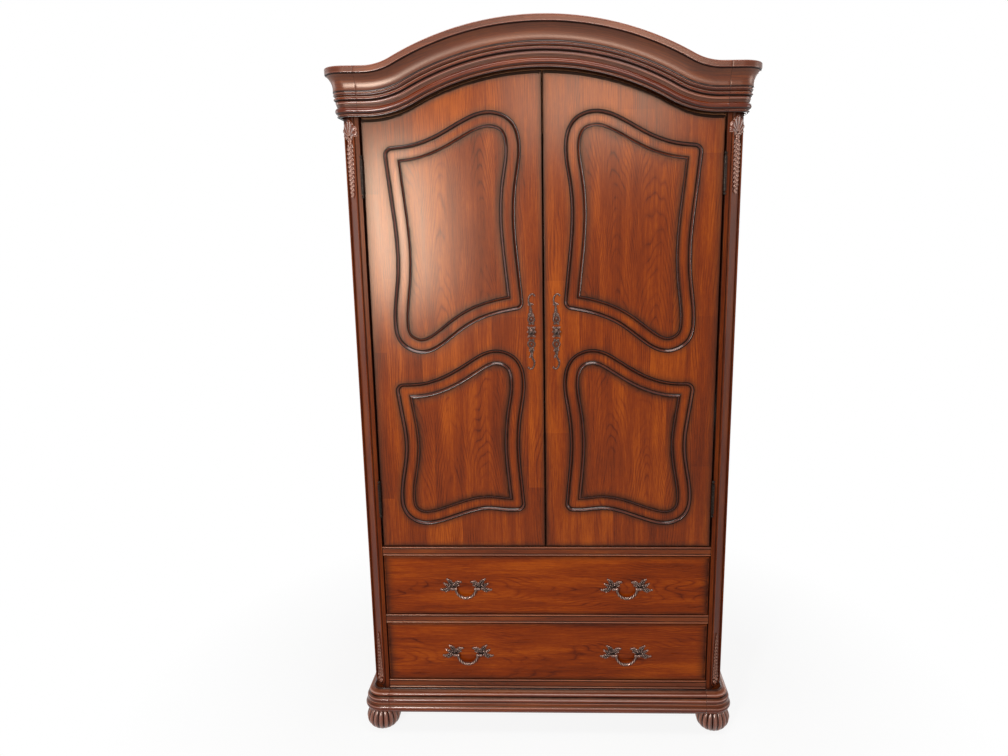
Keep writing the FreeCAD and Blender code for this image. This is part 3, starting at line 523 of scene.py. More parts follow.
def sweep(sheet, line, mask, stations, grain_offset=(0, 0), backing=None, seam=0.6 * MM):
    """A closed profile of (reach, height) carried along stations of (origin, out, up, run).

    backing moves the back of the profile inwards at each station; seam eases both ends.
    """
    across, back, inward = run_of(line), line[:, 0] < BACK, line.mean(0) - line
    eased = line + inward / np.linalg.norm(inward, axis=1)[:, None] * seam
    eased[back] = line[back]
    stations, backing = list(stations), list(backing or [0.0] * len(stations))
    for end, near in ((0, 1), (-1, -2)):
        origin, out, up, run = stations[end]
        other, *_, far = stations[near]
        share = min(0.5, 1.2 * MM / max(np.linalg.norm(other - origin), 1e-9))
        place = 1 if end == 0 else len(stations) - 1
        stations.insert(place, (origin + (other - origin) * share, out, up,
                                run + (far - run) * share))
        backing.insert(place, backing[end])
    rings, grain, masks = [], [], []
    for i, (origin, out, up, run) in enumerate(stations):
        at_end = i in (0, len(stations) - 1)
        shape = (eased if at_end else line).copy()
        shape[back, 0] -= backing[i]
        rings.append(origin + shape[:, :1] * out + shape[:, 1:] * up)
        grain.append(stack(across + grain_offset[0], run + grain_offset[1], 0))
        masks.append(np.maximum(mask, 0.9) if at_end else mask)
    crest = hollowness(line, 2 * MM) < -0.12
    crest = crest & np.roll(crest, -1) & ~back
    sheet.tube(rings, grain, masks, tessellate_polygon([[Vector((*p, 0)) for p in line]]),
               np.tile(crest.astype(int), len(stations) - 1))


# ---------------- the arch
def arch_station(s):
    """Point and upward normal of the door-top curve at a run s from the middle."""
    side, s = (-1.0 if s < 0 else 1.0), abs(s)
    big, small = arch_radius * arch_angle, flare_radius * arch_angle
    if s > big + small:
        return side * (flare_x + s - big - small), door_side_top, 0.0, 1.0
    if s <= big:
        a = s / arch_radius
        x, z = arch_radius * math.sin(a), arch_centre_z + arch_radius * math.cos(a)
    else:
        a = arch_angle - (s - big) / flare_radius
        x, z = flare_x - flare_radius * math.sin(a), flare_centre_z - flare_radius * math.cos(a)
    return side * x, z, side * math.sin(a), math.cos(a)


def arch_height(x, offset=0.0):
    """Height of the door-top curve, moved square to itself, over |x|."""
    x = np.abs(x)
    big, small = arch_radius + offset, flare_radius - offset
    edge = big * math.sin(arch_angle)
    z = np.full_like(x, door_side_top + offset)
    crown = x <= edge
    z[crown] = arch_centre_z + np.sqrt(big ** 2 - x[crown] ** 2)
    flare = (x > edge) & (x < flare_x)
    z[flare] = flare_centre_z - np.sqrt(np.maximum(small ** 2 - (flare_x - x[flare]) ** 2, 0))
    return z


# ---------------- mouldings
cornice_line = profile_line([
    (0, 0), (12, 0), (12, 4.5), (9, 4.5), (9, 7, 17, 16), (9, 26), (11, 27), (11, 30),
    (12.5, 31), (12.5, 34, 14.5, 39.5), (13.5, 43), (15.5, 44, 19.5, 47.5),
    (15.5, 51, 16.5, 55), (20, 57), (20, 61), (18, 61), (18, 64), (20.5, 64),
    (20.5, 68, 24.5, 94), (37, 110), (40.5, 112), (40.5, 128), (38.5, 130), (0, 130)])
plinth_line = profile_line([
    (0, 0), (30, 0), (30, 3, 33.5, 11.5), (29.5, 20, 27, 26.5), (26, 33), (27, 34, 26.5, 41),
    (22.5, 44, 20, 47), (19, 51), (19.5, 51.5, 19.5, 57.5), (14.5, 60, 8.5, 62.5), (3.5, 67),
    (3.5, 69), (0, 69)])
OUT, UP = np.array([0.0, -1.0, 0.0]), np.array([0.0, 0.0, 1.0])


def moulding_mask(line, grooves, fillets):
    """Glaze and painted shade for a moulding: dark in its hollows and grooves, and pale on its
    fillets as rubbed wear and painted highlight.

    A groove or fillet is (height, width, strength).
    """
    height = line[:, 1] / MM
    mask = 0.12 + np.clip(hollowness(line) * 1.8 - 0.05, 0, 1)
    for place, width, strength in grooves:
        mask = np.maximum(mask, strength * peak(height, place, width * 1.4))
    for place, width, strength in fillets:
        mask = mask - (mask + strength) * peak(height, place, width)
    mask[line[:, 0] < BACK] = 0.25
    return mask


# at heights 0, 103 and 110.5 the grooves paint the shadow under the cornice and under its top lip
cornice_mask = moulding_mask(
    cornice_line,
    [(0, 2.0, 1.2), (10.5, 1.6, 1.1), (28.5, 1.3, 0.9), (32.5, 1.2, 1.0), (44.5, 1.5, 1.1),
     (58, 1.2, 1.0), (66.5, 2.2, 1.2), (103, 9.0, 0.55), (110.5, 1.8, 1.2)],
    [(5.5, 1.2, 0.5), (26.5, 0.9, 0.4), (36.5, 1.2, 0.5), (51.5, 1.2, 0.5), (62.5, 1.2, 0.5),
     (114, 1.2, 0.2), (128.5, 1.5, 0.35)])
plinth_mask = moulding_mask(
    plinth_line,
    [(0, 1.5, 0.8), (21, 1.4, 0.9), (33.5, 1.3, 1.0), (49.5, 1.8, 1.2), (67.5, 1.6, 1.2)],
    [(16.5, 1.4, 0.4), (29.5, 1.2, 0.5), (41.5, 1.4, 0.45), (58.5, 1.6, 0.5)])

crown = Sheet()
end_run = (arch_radius + flare_radius) * arch_angle + half_opening - flare_x
stations = []
for s in np.linspace(-end_run, end_run, 181):
    x, z, nx, nz = arch_station(s)
    up = np.array([nx, 0, nz])
    stations.append((np.array([x, stile_y, z]) + up * cornice_gap, OUT, up, s))
sweep(crown, cornice_line, cornice_mask, stations)
crown.build("cornice_arch_moulding", "carcass", "crown", ["cornice_arch"])


def front_stations(xs, height, start=0.0):
    """Stations along the front of the case."""
    return [(np.array([x, stile_y, height]), OUT, UP, x - start) for x in xs]


def return_stations(corner, height, turn_run=0.04):
    """Front, round the corner and back along the side, and how far it is to the cant behind."""
    centre = np.array([half_body - corner, stile_y + corner, height])
    found = front_stations(np.linspace(half_opening, centre[0], 8), height, half_opening)
    run = centre[0] - half_opening
    for a in np.linspace(0, math.pi / 2, 21)[1:]:
        out = np.array([math.sin(a), -math.cos(a), 0])
        found.append((centre + corner * out, out, UP, run + a * turn_run))
    run += math.pi / 2 * turn_run
    found += [(np.array([half_body, y, height]), np.array([1.0, 0, 0]), UP, run + y - centre[1])
              for y in np.linspace(centre[1], panel_high.y, 24)[1:]]
    behind = [max(0.0, (p[0] - half_body + cant - p[1] + stile_y) / (out[0] - out[1]))
              for p, out, *_ in found]
    return found, behind


for side, mirror in SIDES:
    for name, look, line, mask, corner, height in (
            ("cornice_return", "crown", cornice_line, cornice_mask, cornice_corner,
             cornice_side_z),
            ("plinth_return", "case", plinth_line, plinth_mask, plinth_corner, foot_height)):
        piece = Sheet()
        found, behind = return_stations(corner, height)
        sweep(piece, line, mask, found, (0.3, 2.0), behind)
        piece.build(f"{side}_{name}_moulding", "carcass", look, [f"{side}_{name}"], mirror)

base = Sheet()
sweep(base, plinth_line, plinth_mask,
      front_stations(np.linspace(-half_opening, half_opening, 60), foot_height),
      backing=[plinth_high.y - stile_y] * 60)
base.build("plinth_front_moulding", "carcass", "case", ["plinth_front"])

rail_xs = [*np.linspace(-half_opening, -half_opening + 0.05, 6),
           *np.linspace(-half_opening + 0.06, half_opening - 0.06, 40),
           *np.linspace(half_opening - 0.05, half_opening, 6)]
for name in ("door_rail", "drawer_rail", "bottom_rail"):
    low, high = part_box(name)
    back, tall = (low.y - high.y) / MM, (high.z - low.z) / MM
    rail_line = profile_line([
        (back, 0), (-3, 0, -1.0, 0.4), (0, 2.0), (-0.2, 3.0), (-2.4, 4.8), (-3, 6.2), (-1.5, 7),
        (-1.5, tall - 7.6), (-3, tall - 6.8), (-3, tall - 6, -1.0, tall - 5.6), (0, tall - 4.2),
        (-0.2, tall - 3.0), (-2.4, tall - 1.0), (-3, tall), (back, tall)])
    place = rail_line[:, 1] / MM
    # black lines beside the beads and at the rail's edges are glaze and painted shade; the pale
    # lines on the beads' upper faces are painted highlights
    rail_mask = np.full(len(place), 0.15)
    for dark, width in ((0, 1.4), (6.6, 1.7), (tall - 7.4, 1.5), (tall, 1.2)):
        rail_mask = np.maximum(rail_mask, 1.25 * peak(place, dark, width))
    for pale in (3.4, tall - 2.8):
        rail_mask -= (rail_mask + 0.2) * peak(place, pale, 0.9)
    rail_mask[rail_line[:, 0] < -3.5 * MM] = 0.5
    rail = Sheet()
    sweep(rail, rail_line, rail_mask, front_stations(rail_xs, low.z), (low.z, 0))
    rail.build(name + "_beaded", "carcass", "case", [name])


# ---------------- door outlines
meeting_margin, hinge_margin = 64.5 * MM, 65.5 * MM
bottom_margin, crown_margin = 80 * MM, 112.5 * MM
panel_spacing, lower_panel_height = 4.5 * MM, 536.5 * MM
band_depth, band_width, corner_round, panel_thickness = 5.5 * MM, 30 * MM, 16 * MM, 16 * MM
panel_lap, panel_rib, rib_slope, board_crown = 12 * MM, 20 * MM, -0.3, 60 * MM
panel_x0 = door_x0 + meeting_margin
panel_width = door_x1 - hinge_margin - panel_x0
lower_z = door_bottom + bottom_margin
upper_z = lower_z + lower_panel_height + panel_spacing
upper_height = door_apex - crown_margin - upper_z

# each outline is two S-shaped curves between its square corners, in a frame of 380 mm width
TEMPLATE_WIDTH, UPPER_TEMPLATE_HEIGHT, LOWER_TEMPLATE_HEIGHT = 380, 673.5, 536.5
upper_template = [
    [(379.5, 578.5), (304, 587), (229, 613.5), (154, 653.5), (84, 673.5), (24, 649),
     (4, 593), (15, 489), (22, 387), (14, 267), (0.5, 131)],
    [(0.5, 131), (79, 115.5), (154, 85.5), (229, 31.5), (300, 0.5), (358, 31),
     (371, 89), (359, 207), (355, 302), (365, 432), (379.5, 578.5)]]
lower_template = [
    [(377, 435), (304, 437.5), (229, 461.5), (154, 505.5), (82, 536.5), (22, 513.5),
     (0, 453.5), (10, 355.5), (19, 242.5), (12, 137.5), (3.5, 44.5)],
    [(3.5, 44.5), (44, 43), (114, 48.5), (194, 30.5), (264, 6.5), (319, 1), (364, 29.5),
     (376, 82.5), (361, 187.5), (355, 252.5), (364, 342.5), (377, 435)]]


def spline(points, count=420):
    """A natural cubic spline through the points, by chord length."""
    p = np.array(points, float)
    t = run_of(p)
    size, h = len(p), np.diff(t)
    m, rhs = np.eye(size), np.zeros((size, 2))
    for i in range(1, size - 1):
        m[i, i - 1:i + 2] = h[i - 1], 2 * (h[i - 1] + h[i]), h[i]
        rhs[i] = 6 * ((p[i + 1] - p[i]) / h[i] - (p[i] - p[i - 1]) / h[i - 1])
    bend = np.linalg.solve(m, rhs)
    out = []
    for u in np.linspace(0, t[-1], count):
        i = min(int(np.searchsorted(t, u, side="right")) - 1, size - 2)
        a, b = (t[i + 1] - u) / h[i], (u - t[i]) / h[i]
        out.append(a * p[i] + b * p[i + 1]
                   + ((a ** 3 - a) * bend[i] + (b ** 3 - b) * bend[i + 1]) * h[i] ** 2 / 6)
    return np.array(out)


def crossing(a, b):
    """Where two open lines cross: the two indices and the point."""
    p, r = a[:-1, None, :], np.diff(a, axis=0)[:, None, :]
    q, s = b[None, :-1, :], np.diff(b, axis=0)[None, :, :]

    def cross(v, w):
        return v[..., 0] * w[..., 1] - v[..., 1] * w[..., 0]

    scale = cross(r, s)
    scale = np.where(np.abs(scale) < 1e-18, 1e-18, scale)
    t, u = cross(q - p, s) / scale, cross(q - p, r) / scale
    i, j = np.argwhere((t >= 0) & (t <= 1) & (u >= 0) & (u <= 1))[-1]
    return i, j, a[i] + t[i, j] * (a[i + 1] - a[i])


class Outline:
    """A panel's outline, which can be moved inwards (+) or outwards (-) square to itself."""

    def __init__(self, template, z0, height, template_height):
        scale = np.array([panel_width / TEMPLATE_WIDTH, height / template_height])
        origin = np.array([panel_x0, z0])
        self.curves = [spline(points) * scale + origin for points in template]

    def moved(self, distance):
        out = []
        for curve in self.curves:
            along = np.gradient(curve, axis=0)
            along /= np.linalg.norm(along, axis=1)[:, None]
            line = curve + stack(-along[:, 1], along[:, 0]) * distance
            tail = max(0.0, -distance) * 4 + 0.002
            out.append(np.vstack([line[0] - along[0] * tail, line, line[-1] + along[-1] * tail]))
        return out

    def loop(self, distance, per_side=260):
        """The closed outline, moved and with its two corners rounded."""
        a, b = self.moved(distance)
        half_a, half_b = len(a) // 2, len(b) // 2
        i, j, low_corner = crossing(a[half_a:], b[:half_b])
        k, m, high_corner = crossing(b[half_b:], a[:half_a])
        side_a = np.vstack([high_corner, a[m + 1:half_a + i + 1], low_corner])
        side_b = np.vstack([low_corner, b[j + 1:half_b + k + 1], high_corner])
        radius = corner_round - distance
        if radius > 0.4 * MM:
            side_a, side_b = rounded(side_a, side_b, radius)
            side_b, side_a = rounded(side_b, side_a, radius)
        return np.vstack([at_runs(side, np.linspace(0, run_of(side)[-1], per_side + 1))[:-1]
                          for side in (side_a, side_b)])


def rounded(first, second, radius):
    """Rounds the corner where the first line ends and the second starts."""
    d1, d2 = first[-1] - first[-6], second[5] - second[0]
    turn = math.acos(np.clip(d1 @ d2 / np.linalg.norm(d1) / np.linalg.norm(d2), -1, 1))
    reach = radius * math.tan(turn / 2)
    t = np.linspace(0, 1, 25)[:, None]
    start, bend, end = (1 - t) ** 2, 2 * math.cos(turn / 2) * t * (1 - t), t ** 2
    curve = (start * at_runs(first[::-1], [reach]) + bend * first[-1]
             + end * at_runs(second, [reach])) / (start + bend + end)
    kept = len(first) - int(np.searchsorted(run_of(first[::-1]), reach))
    return (np.vstack([first[:kept], curve[:13]]),
            np.vstack([curve[12:], second[int(np.searchsorted(run_of(second), reach)):]]))


outlines = {"upper": Outline(upper_template, upper_z, upper_height, UPPER_TEMPLATE_HEIGHT),
            "lower": Outline(lower_template, lower_z, lower_panel_height,
                             LOWER_TEMPLATE_HEIGHT)}

# (inset, drop) steps: the door's own edge, from its face down to the band, and from the band
# up to the raised field; the last two share their glaze and painted shade, from the face down
edge_steps = [(9.6, 0), (8.0, 0), (3.2, 0), (2.0, 0), (1.2, 0.15), (0.5, 0.6), (0.1, 1.3),
              (0, 2.2)]
frame_ovolo = [(-9.6, 0), (-8.0, 0), (-6.2, 0), (-5.3, 0.1), (-4.6, 0.55), (-3.8, 1.35),
               (-1.4, 3.75), (-0.6, 4.6), (-0.15, 5.2), (0, 5.5)]
field_rise = [(29.8, 5.5), (30.1, 5.2), (30.7, 4.5), (31.4, 3.75), (33.8, 1.35), (34.6, 0.55),
              (35.4, 0.1), (36.4, 0), (37.4, 0), (38.9, 0)]
step_glaze_and_shade = [0.9, 0.6, 0.35, 0.7, 1.1, 1.25, 1.25]
band_rows = [0, 1.4, 2.9], [26.8, 28.4, 29.8]


def halo(distance, strength, width, core=2):
    """Dark glaze and painted shade along an edge: full over its core, and fading away from there.
    """
    return strength * np.clip(1 - (distance - core * MM) / (width * MM), 0, 1) ** 2


def dark_line(distance, reach, soft=1.5 * MM):
    """A black line along an edge, with a soft outer side."""
    return 1.25 * np.clip((reach * MM + soft - distance) / soft, 0, 1)


def board_outline(kind, inset):
    """Outline of a panel's board, behind the frame."""
    x0, x1 = panel_x0 - panel_lap + inset, panel_x0 + panel_width + panel_lap - inset
    middle_x = panel_x0 + panel_width / 2
    middle_z = lower_z + lower_panel_height + panel_spacing / 2
    away = (panel_rib / 2 + inset) * (1 if kind == "upper" else -1)
    joint = [(x, middle_z + away + rib_slope * (x - middle_x)) for x in (x0, x1)]
    if kind == "lower":
        low = lower_z - panel_lap + inset
        return np.array([(x0, low), (x1, low), joint[1], joint[0]])
    xs = np.linspace(x1, x0, 60)
    return np.vstack([joint, stack(xs, arch_height(xs, -board_crown - inset))])


def door_outline(inset):
    """Outline of the right door."""
    x0, x1, z0 = door_x0 + inset, door_x1 - inset, door_bottom + inset
    xs = np.linspace(x1, x0, 200)
    top = stack(xs, arch_height(xs, -inset))
    corners = [top[-1], np.array([x0, z0]), np.array([x1, z0]), top[0]]
    return np.vstack([top[:-1]] + [straight(a, b, 200) for a, b in zip(corners, corners[1:])])


def upright_grain(shift, rise=0.0):
    return lambda p: stack(p[:, 0] + shift, p[:, 2] + rise, p[:, 1])


rims = [outlines[kind].loop(frame_ovolo[0][0] * MM) for kind in KINDS]
rim_lines = [outlines[kind].loop(0) for kind in KINDS]
pockets = [board_outline(kind, 0) for kind in KINDS]
door_edge = door_outline(0)


def front_mask(flat):
    """Glaze and painted shade of a door's face: dark round its panels, most round the lower one,
    along its own edges, most at the hinge side, and a painted shadow along its top under the
    cornice.
    """
    near = np.minimum(distance_to(flat, rim_lines[0]), distance_to(flat, rim_lines[1]))
    under = arch_height(flat[:, 0]) - flat[:, 1]
    rest = distance_to(flat, door_edge)
    halo_share = np.where(flat[:, 1] < upper_z - 0.05, 0.95, 0.72)
    # dark_line(under) and halo(under) paint the cornice's shadow along the door's top
    return np.maximum.reduce([
        halo(near, 1.0, 26, 6) * halo_share, dark_line(near, 7.9),
        halo(door_x1 - flat[:, 0], 0.75, 36), dark_line(under, 8), halo(under, 0.8, 18, 6),
        halo(rest, 0.85, 20), dark_line(rest, 1.5)])


for side, mirror in SIDES:
    body = side + "_door"
    grain = upright_grain(0.37 if mirror else 0.0)
    door = Sheet()
    loops, depths = stepped(door_outline, edge_steps, face_y)
    plate(door, loops[0], rims, face_y, -1, grain, front_mask, 0.007)
    rows_between(door, loops + [door_edge, door_outline(1 * MM)],
                 depths + [door_back_y - 1 * MM, door_back_y], grain,
                 [front_mask(row) for row in loops] + [0.7, 0.3])
    for kind, pocket in zip(KINDS, pockets):
        loops, depths = stepped(outlines[kind].loop, frame_ovolo, face_y)
        rows_between(door, loops[:3], depths[:3], grain, [front_mask(row) for row in loops[:3]])
        rows_between(door, loops[2:], depths[2:], grain, [1.1] + step_glaze_and_shade, 1)
        plate(door, pocket, [loops[-1]], depths[-1], 1, grain, 0.2)
        rows_between(door, [pocket, pocket], [depths[-1], door_back_y], grain, [0.2, 0.2])
    plate(door, door_outline(1 * MM), pockets, door_back_y, 1, grain, 0.05)
    door.build(side + "_door_shaped_frame", body, "door", [side + "_door_frame"], mirror)

    for kind in KINDS:
        loop, lower = outlines[kind].loop, kind == "lower"
        panel = Sheet()
        board = board_outline(kind, 0.4 * MM)
        loops, depths = stepped(loop, field_rise, face_y)
        rim, wall, crest = loop(0), loop(band_width), loops[7]
        middle_x, middle_z = (crest.min(0) + crest.max(0)) / 2
        grain = upright_grain(
            (0.011 if mirror else -0.016) + (0.012 if lower else 0) - middle_x,
            (1.7 if lower else 0.0) + (0.55 if mirror else 0) - middle_z)

        # band and field masks: glaze and painted shade along the contours, stronger round the
        # lower field
        def band_mask(flat):
            to_rim, to_wall = distance_to(flat, rim), distance_to(flat, wall)
            return np.maximum.reduce([halo(to_rim, 0.95, 13), dark_line(to_rim, 1.3),
                                      halo(to_wall, 0.85, 11), dark_line(to_wall, 1.0)])

        def field_mask(flat):
            near = distance_to(flat, crest)
            return np.maximum(halo(near, 1.1 if lower else 0.92, 30, 0), dark_line(near, 0.8))

        outer_rows, inner_rows = [[loop(d * MM) for d in row] for row in band_rows]
        depth, rear = face_y + band_depth, face_y + panel_thickness
        plate(panel, board, [outer_rows[0]], depth, -1, grain, band_mask, None, 2)
        for rows in (outer_rows, inner_rows):
            rows_between(panel, rows, [depth] * 3, grain, [band_mask(row) for row in rows], 2)
        plate(panel, outer_rows[-1], [inner_rows[0]], depth, -1, grain, band_mask, 0.004, 2)
        rows_between(panel, loops[:8], depths[:8], grain, step_glaze_and_shade[::-1] + [1.1], 1)
        rows_between(panel, loops[7:], depths[7:], grain, [field_mask(row) for row in loops[7:]])
        plate(panel, loops[-1], [], face_y, -1, grain, field_mask, 0.006)
        rows_between(panel, [board, board], [depth, rear], grain, [0.1, 0.1])
        plate(panel, board, [], rear, 1, grain, 0.0)
        panel.build(f"{side}_{kind}_raised_panel", body, "field", [f"{side}_{kind}_panel"],
                    mirror)


# ---------------- drawer fronts
def box_outline(low, high, inset):
    x0, x1, z0, z1 = low.x + inset, high.x - inset, low.z + inset, high.z - inset
    corners = [np.array(c) for c in ((x1, z1), (x0, z1), (x0, z0), (x1, z0))]
    return np.vstack([straight(a, b, 60) for a, b in zip(corners, corners[1:] + corners[:1])])


for kind, start in zip(KINDS, (0.0, 1.3)):
    low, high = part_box(kind + "_drawer_front")
    middle_z = (low.z + high.z) / 2
    edge = box_outline(low, high, 0)

    def level_grain(p):
        return stack(p[:, 2] - middle_z + 0.02, p[:, 0] + start, p[:, 1])

    def drawer_mask(flat):
        # glaze and painted shade along the front's edges, strongest over its ends
        ends = np.minimum(flat[:, 0] - low.x, high.x - flat[:, 0])
        return np.maximum(halo(distance_to(flat, edge), 0.8, 13), halo(ends, 0.95, 34, 4))

    loops, depths = stepped(lambda inset: box_outline(low, high, inset),
                            [(2.2, 0), (1.3, 0.15), (0.5, 0.6), (0.1, 1.3), (0, 2.2)], low.y)
    front = Sheet()
    plate(front, loops[0], [], low.y, -1, level_grain, drawer_mask, 0.007)
    rows_between(front, loops + [edge], depths + [high.y], level_grain,
                 [0.6, 0.4, 0.35, 0.5, 0.8, 0.4])
    plate(front, edge, [], high.y, 1, level_grain, 0.0)
    front.build(kind + "_drawer_face", kind + "_drawer", "drawer", [kind + "_drawer_front"])



# ---------------- corner posts
strip_half, strip_depth, strip_bead, strip_margin = 22 * MM, 3 * MM, 2.2 * MM, 27 * MM
strip_low, strip_high = plinth_top + strip_margin, cornice_side_z - strip_margin
cant_middle = np.array([half_body - cant / 2, stile_y + cant / 2])
cant_half = cant / math.sqrt(2)
SLOPE = np.array([1.0, 1.0]) / math.sqrt(2)
OUTWARD = np.array([1.0, -1.0]) / math.sqrt(2)
hinge_leaf = 95.6 * MM


def strip_relief(u, z):
    """Height of the canted face and its glaze and painted shade: a sunk strip with a bead round
    it, dark on the cant and at the strip's walls, and pale with painted highlight on the bead's
    crest.
    """
    d = (strip_half - np.hypot(u, z - np.clip(z, strip_low, strip_high))) / MM
    bead = np.sqrt(np.maximum(strip_bead ** 2 / MM ** 2 - (d + 1.4) ** 2, 0)) * MM
    sunk = d > 0.8
    height = np.where(sunk, -strip_depth, np.where(d > -3.6, bead, 0.0))
    glaze_and_shade = np.where(d < -3.3, 0.9, 0.9 - 1.4 * bead / strip_bead)
    return height, np.where(sunk, 0.95 - 0.75 * np.clip((d - 0.8) / 5, 0, 1), glaze_and_shade)


def corner_rows(x, y, rows):
    """Places beside (x, y), with their glaze and painted shade, or painted highlight below 0, from
    millimetres.
    """
    return [(x + dx * MM, y + dy * MM, shade) for dx, dy, shade in rows]


def post_sheet():
    """The right post: one closed section for each height, with its strip and hinge mortises."""
    lows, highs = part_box("right_door_hinges")
    leaves = [(z, z + hinge_leaf) for z in (lows.z, highs.z - hinge_leaf)]
    levels = [*np.linspace(foot_height, post_high.z, 60)]
    for low in (strip_low - 24 * MM, strip_high - 3 * MM):
        levels += [*np.linspace(low, low + 27 * MM, 34)]
    for a, b in leaves:
        levels += [a - 0.05 * MM, a, b, b + 0.05 * MM]
    us = np.concatenate([np.linspace(-cant_half, -16 * MM, 24), np.linspace(-14 * MM, 14 * MM, 9),
                         np.linspace(16 * MM, cant_half, 24)])
    front = corner_rows(half_opening, stile_y, [
        (0, 1.3, 1.0), (0.4, 0.4, 0.95), (1.3, 0, 0.9), (2.5, 0, -0.3), (4.5, 0, 0.5),
        (8, 0, 0.25)])
    front += corner_rows(half_body - cant - 2.5 * MM, stile_y, [
        (-2.5, 0, 0.35), (-0.5, 0, 0.8), (0, 0.5, 1.0), (0.4, 2, 1.0), (1.2, 2, 1.0),
        (1.5, 0.6, 0.5), (1.9, 0.15, -0.5)])
    rear = corner_rows(half_body, stile_y + cant, [(0, 1.5, 0.25), (0, 8, 0.3)])
    rear += [(half_body, post_high.y, 0.5), (half_opening, post_high.y, 0.6)]
    rings, grain, masks = [], [], []
    for z in sorted(levels):
        height, glaze_and_shade = strip_relief(us, z)
        face = cant_middle + us[:, None] * SLOPE + height[:, None] * OUTWARD
        deep = 2 if any(a - 0.01 * MM < z < b + 0.01 * MM for a, b in leaves) else 0
        mortise = corner_rows(half_opening, stile_y, [
            (0, 19.2, 0.6), (deep, 19, 0.9), (deep, 8, 0.9), (deep, 1.31, 0.9)])
        section = np.vstack([front, np.column_stack([face, glaze_and_shade]), rear + mortise])
        # painted shade darkens the post towards the plinth and the cornice
        near_end = np.clip(1 - min(z - plinth_top, cornice_side_z - z) / (26 * MM), 0, 1)
        masks.append(np.maximum(section[:, 2], 0.9 * near_end ** 1.5))
        rings.append(stack(section[:, 0], section[:, 1], z))
        grain.append(stack(run_of(section[:, :2]), z, 0))
    sheet = Sheet()
    sheet.tube(rings, grain, masks, tessellate_polygon([[Vector((*p[:2], 0)) for p in rings[0]]]))
    return sheet


for side, mirror in SIDES:
    post_sheet().build(side + "_corner_post_shaped", "carcass", "post", [side + "_corner_post"],
                       mirror)


# ---------------- carved and cast reliefs
class Relief:
    """Heights on a grid: each element is laid over the others, and the highest one shows."""

    def __init__(self, low, high, step):
        self.x, self.z = np.meshgrid(*(np.arange(a, b + step / 2, step)
                                       for a, b in zip(low, high)))
        self.h = np.full(self.x.shape, -1.0)

    def lay(self, height, where):
        self.h = np.maximum(self.h, np.where(where, height, -1))

    def dome(self, x, z, a, b, height, lift=0.0):
        r2 = ((self.x - x) / a) ** 2 + ((self.z - z) / b) ** 2
        self.lay(lift + height * np.sqrt(np.maximum(1 - r2, 0)), r2 < 1)

    def leaf(self, start, end, width, height, bend=0.0):
        """A pointed leaf with a rib, side veins and a tip that rises."""
        run_x, run_z = end[0] - start[0], end[1] - start[1]
        long = math.hypot(run_x, run_z)
        # through degrees: the rounding decides whether a tip's last grid point is part of it
        turn = math.radians(math.degrees(math.atan2(run_x, run_z)))
        c, s = math.cos(turn), math.sin(turn)
        dx, dz = self.x - start[0], self.z - start[1]
        q = dx * s + dz * c
        t = np.clip(q / long, 0, 1)
        p = dx * c - dz * s - bend * np.sin(math.pi * t)
        half = width / 2 * np.sin(math.pi * np.clip(t, 0.001, 0.999) ** 0.75) ** 0.7
        across = np.abs(p) / np.maximum(half * (1 + 0.10 * np.sin(t * 26)), 1e-6)
        body = np.sqrt(np.maximum(1 - across ** 2, 0))
        veins = 0.12 * np.cos(t * 34 - across * 4.5)
        rib = -0.30 * peak(p, 0, 0.10 * width)
        self.lay(height * (body * (0.72 + 0.35 * t) + (veins + rib) * body),
                 (q > 0) & (q < long) & (across < 1))

    def stem(self, path, radii, height):
        """A round stem along a smooth path, with its own radius at each point."""
        line = spline(path, 60)
        radii = np.interp(np.linspace(0, 1, 60), np.linspace(0, 1, len(path)), radii)
        for (a, b), r in zip(line, radii):
            r2 = ((self.x - a) ** 2 + (self.z - b) ** 2) / r ** 2
            self.lay(height * r * np.sqrt(np.maximum(1 - r2, 0)), r2 < 1)

    def curl(self, x, z, radius, height, way):
        """A small volute: a round boss with a spiral groove."""
        dx, dz = (self.x - x) * way, self.z - z
        r = np.hypot(dx, dz) / radius
        spiral = np.cos(2 * math.pi * (r * 1.7) - np.arctan2(dz, dx))
        self.lay(height * np.sqrt(np.maximum(1 - r ** 2, 0)) * (0.82 + 0.22 * spiral), r < 1)

    def hollows(self, reach):
        """How far each place lies below its surroundings (+), or above them (-)."""
        h = np.maximum(self.h, 0)
        soft = h.copy()
        for _ in range(reach):
            pad = np.pad(soft, 1, mode="edge")
            soft = (pad[:-2, 1:-1] + pad[2:, 1:-1] + pad[1:-1, :-2] + pad[1:-1, 2:]
                    + 4 * soft) / 8
        return soft - h

    def worn(self):
        """How much the crests of a casting are rubbed."""
        return np.clip(-self.hollows(3) / 0.32 - 0.05, 0, 1)

    def build_on(self, sheet, place, mask, base, sink):
        """Adds a closed solid: the relief, a flat back at base, and the edge between them."""
        raised = self.h > sink
        near = raised[:-1, :-1] | raised[1:, :-1] | raised[:-1, 1:] | raised[1:, 1:]
        columns = self.x.shape[1]
        front, sides = [], {}
        for i, j in np.argwhere(near).tolist():
            k = i * columns + j
            quad = (k, k + 1, k + columns + 1, k + columns)
            front.append(quad)
            for a, b in zip(quad, quad[1:] + quad[:1]):
                if (b, a) in sides:
                    del sides[(b, a)]
                else:
                    sides[(a, b)] = True
        used = sorted({k for quad in front for k in quad})
        size, new = len(used), {k: n for n, k in enumerate(used)}
        faces = [tuple(new[k] for k in quad) for quad in front]
        faces += [tuple(new[k] + size for k in quad[::-1]) for quad in front]
        faces += [(new[b], new[a], new[a] + size, new[b] + size) for a, b in sides]
        x, z, top, shade = (grid.ravel()[used] for grid in (
            self.x, self.z, np.maximum(self.h, sink), mask))
        sheet.add(np.vstack([place(x, z, top), place(x, z, np.full(size, base))]),
                  stack(np.tile(x, 2), np.tile(z, 2), 0) * MM,
                  np.concatenate([shade, np.full(size, 0.8)]), faces)


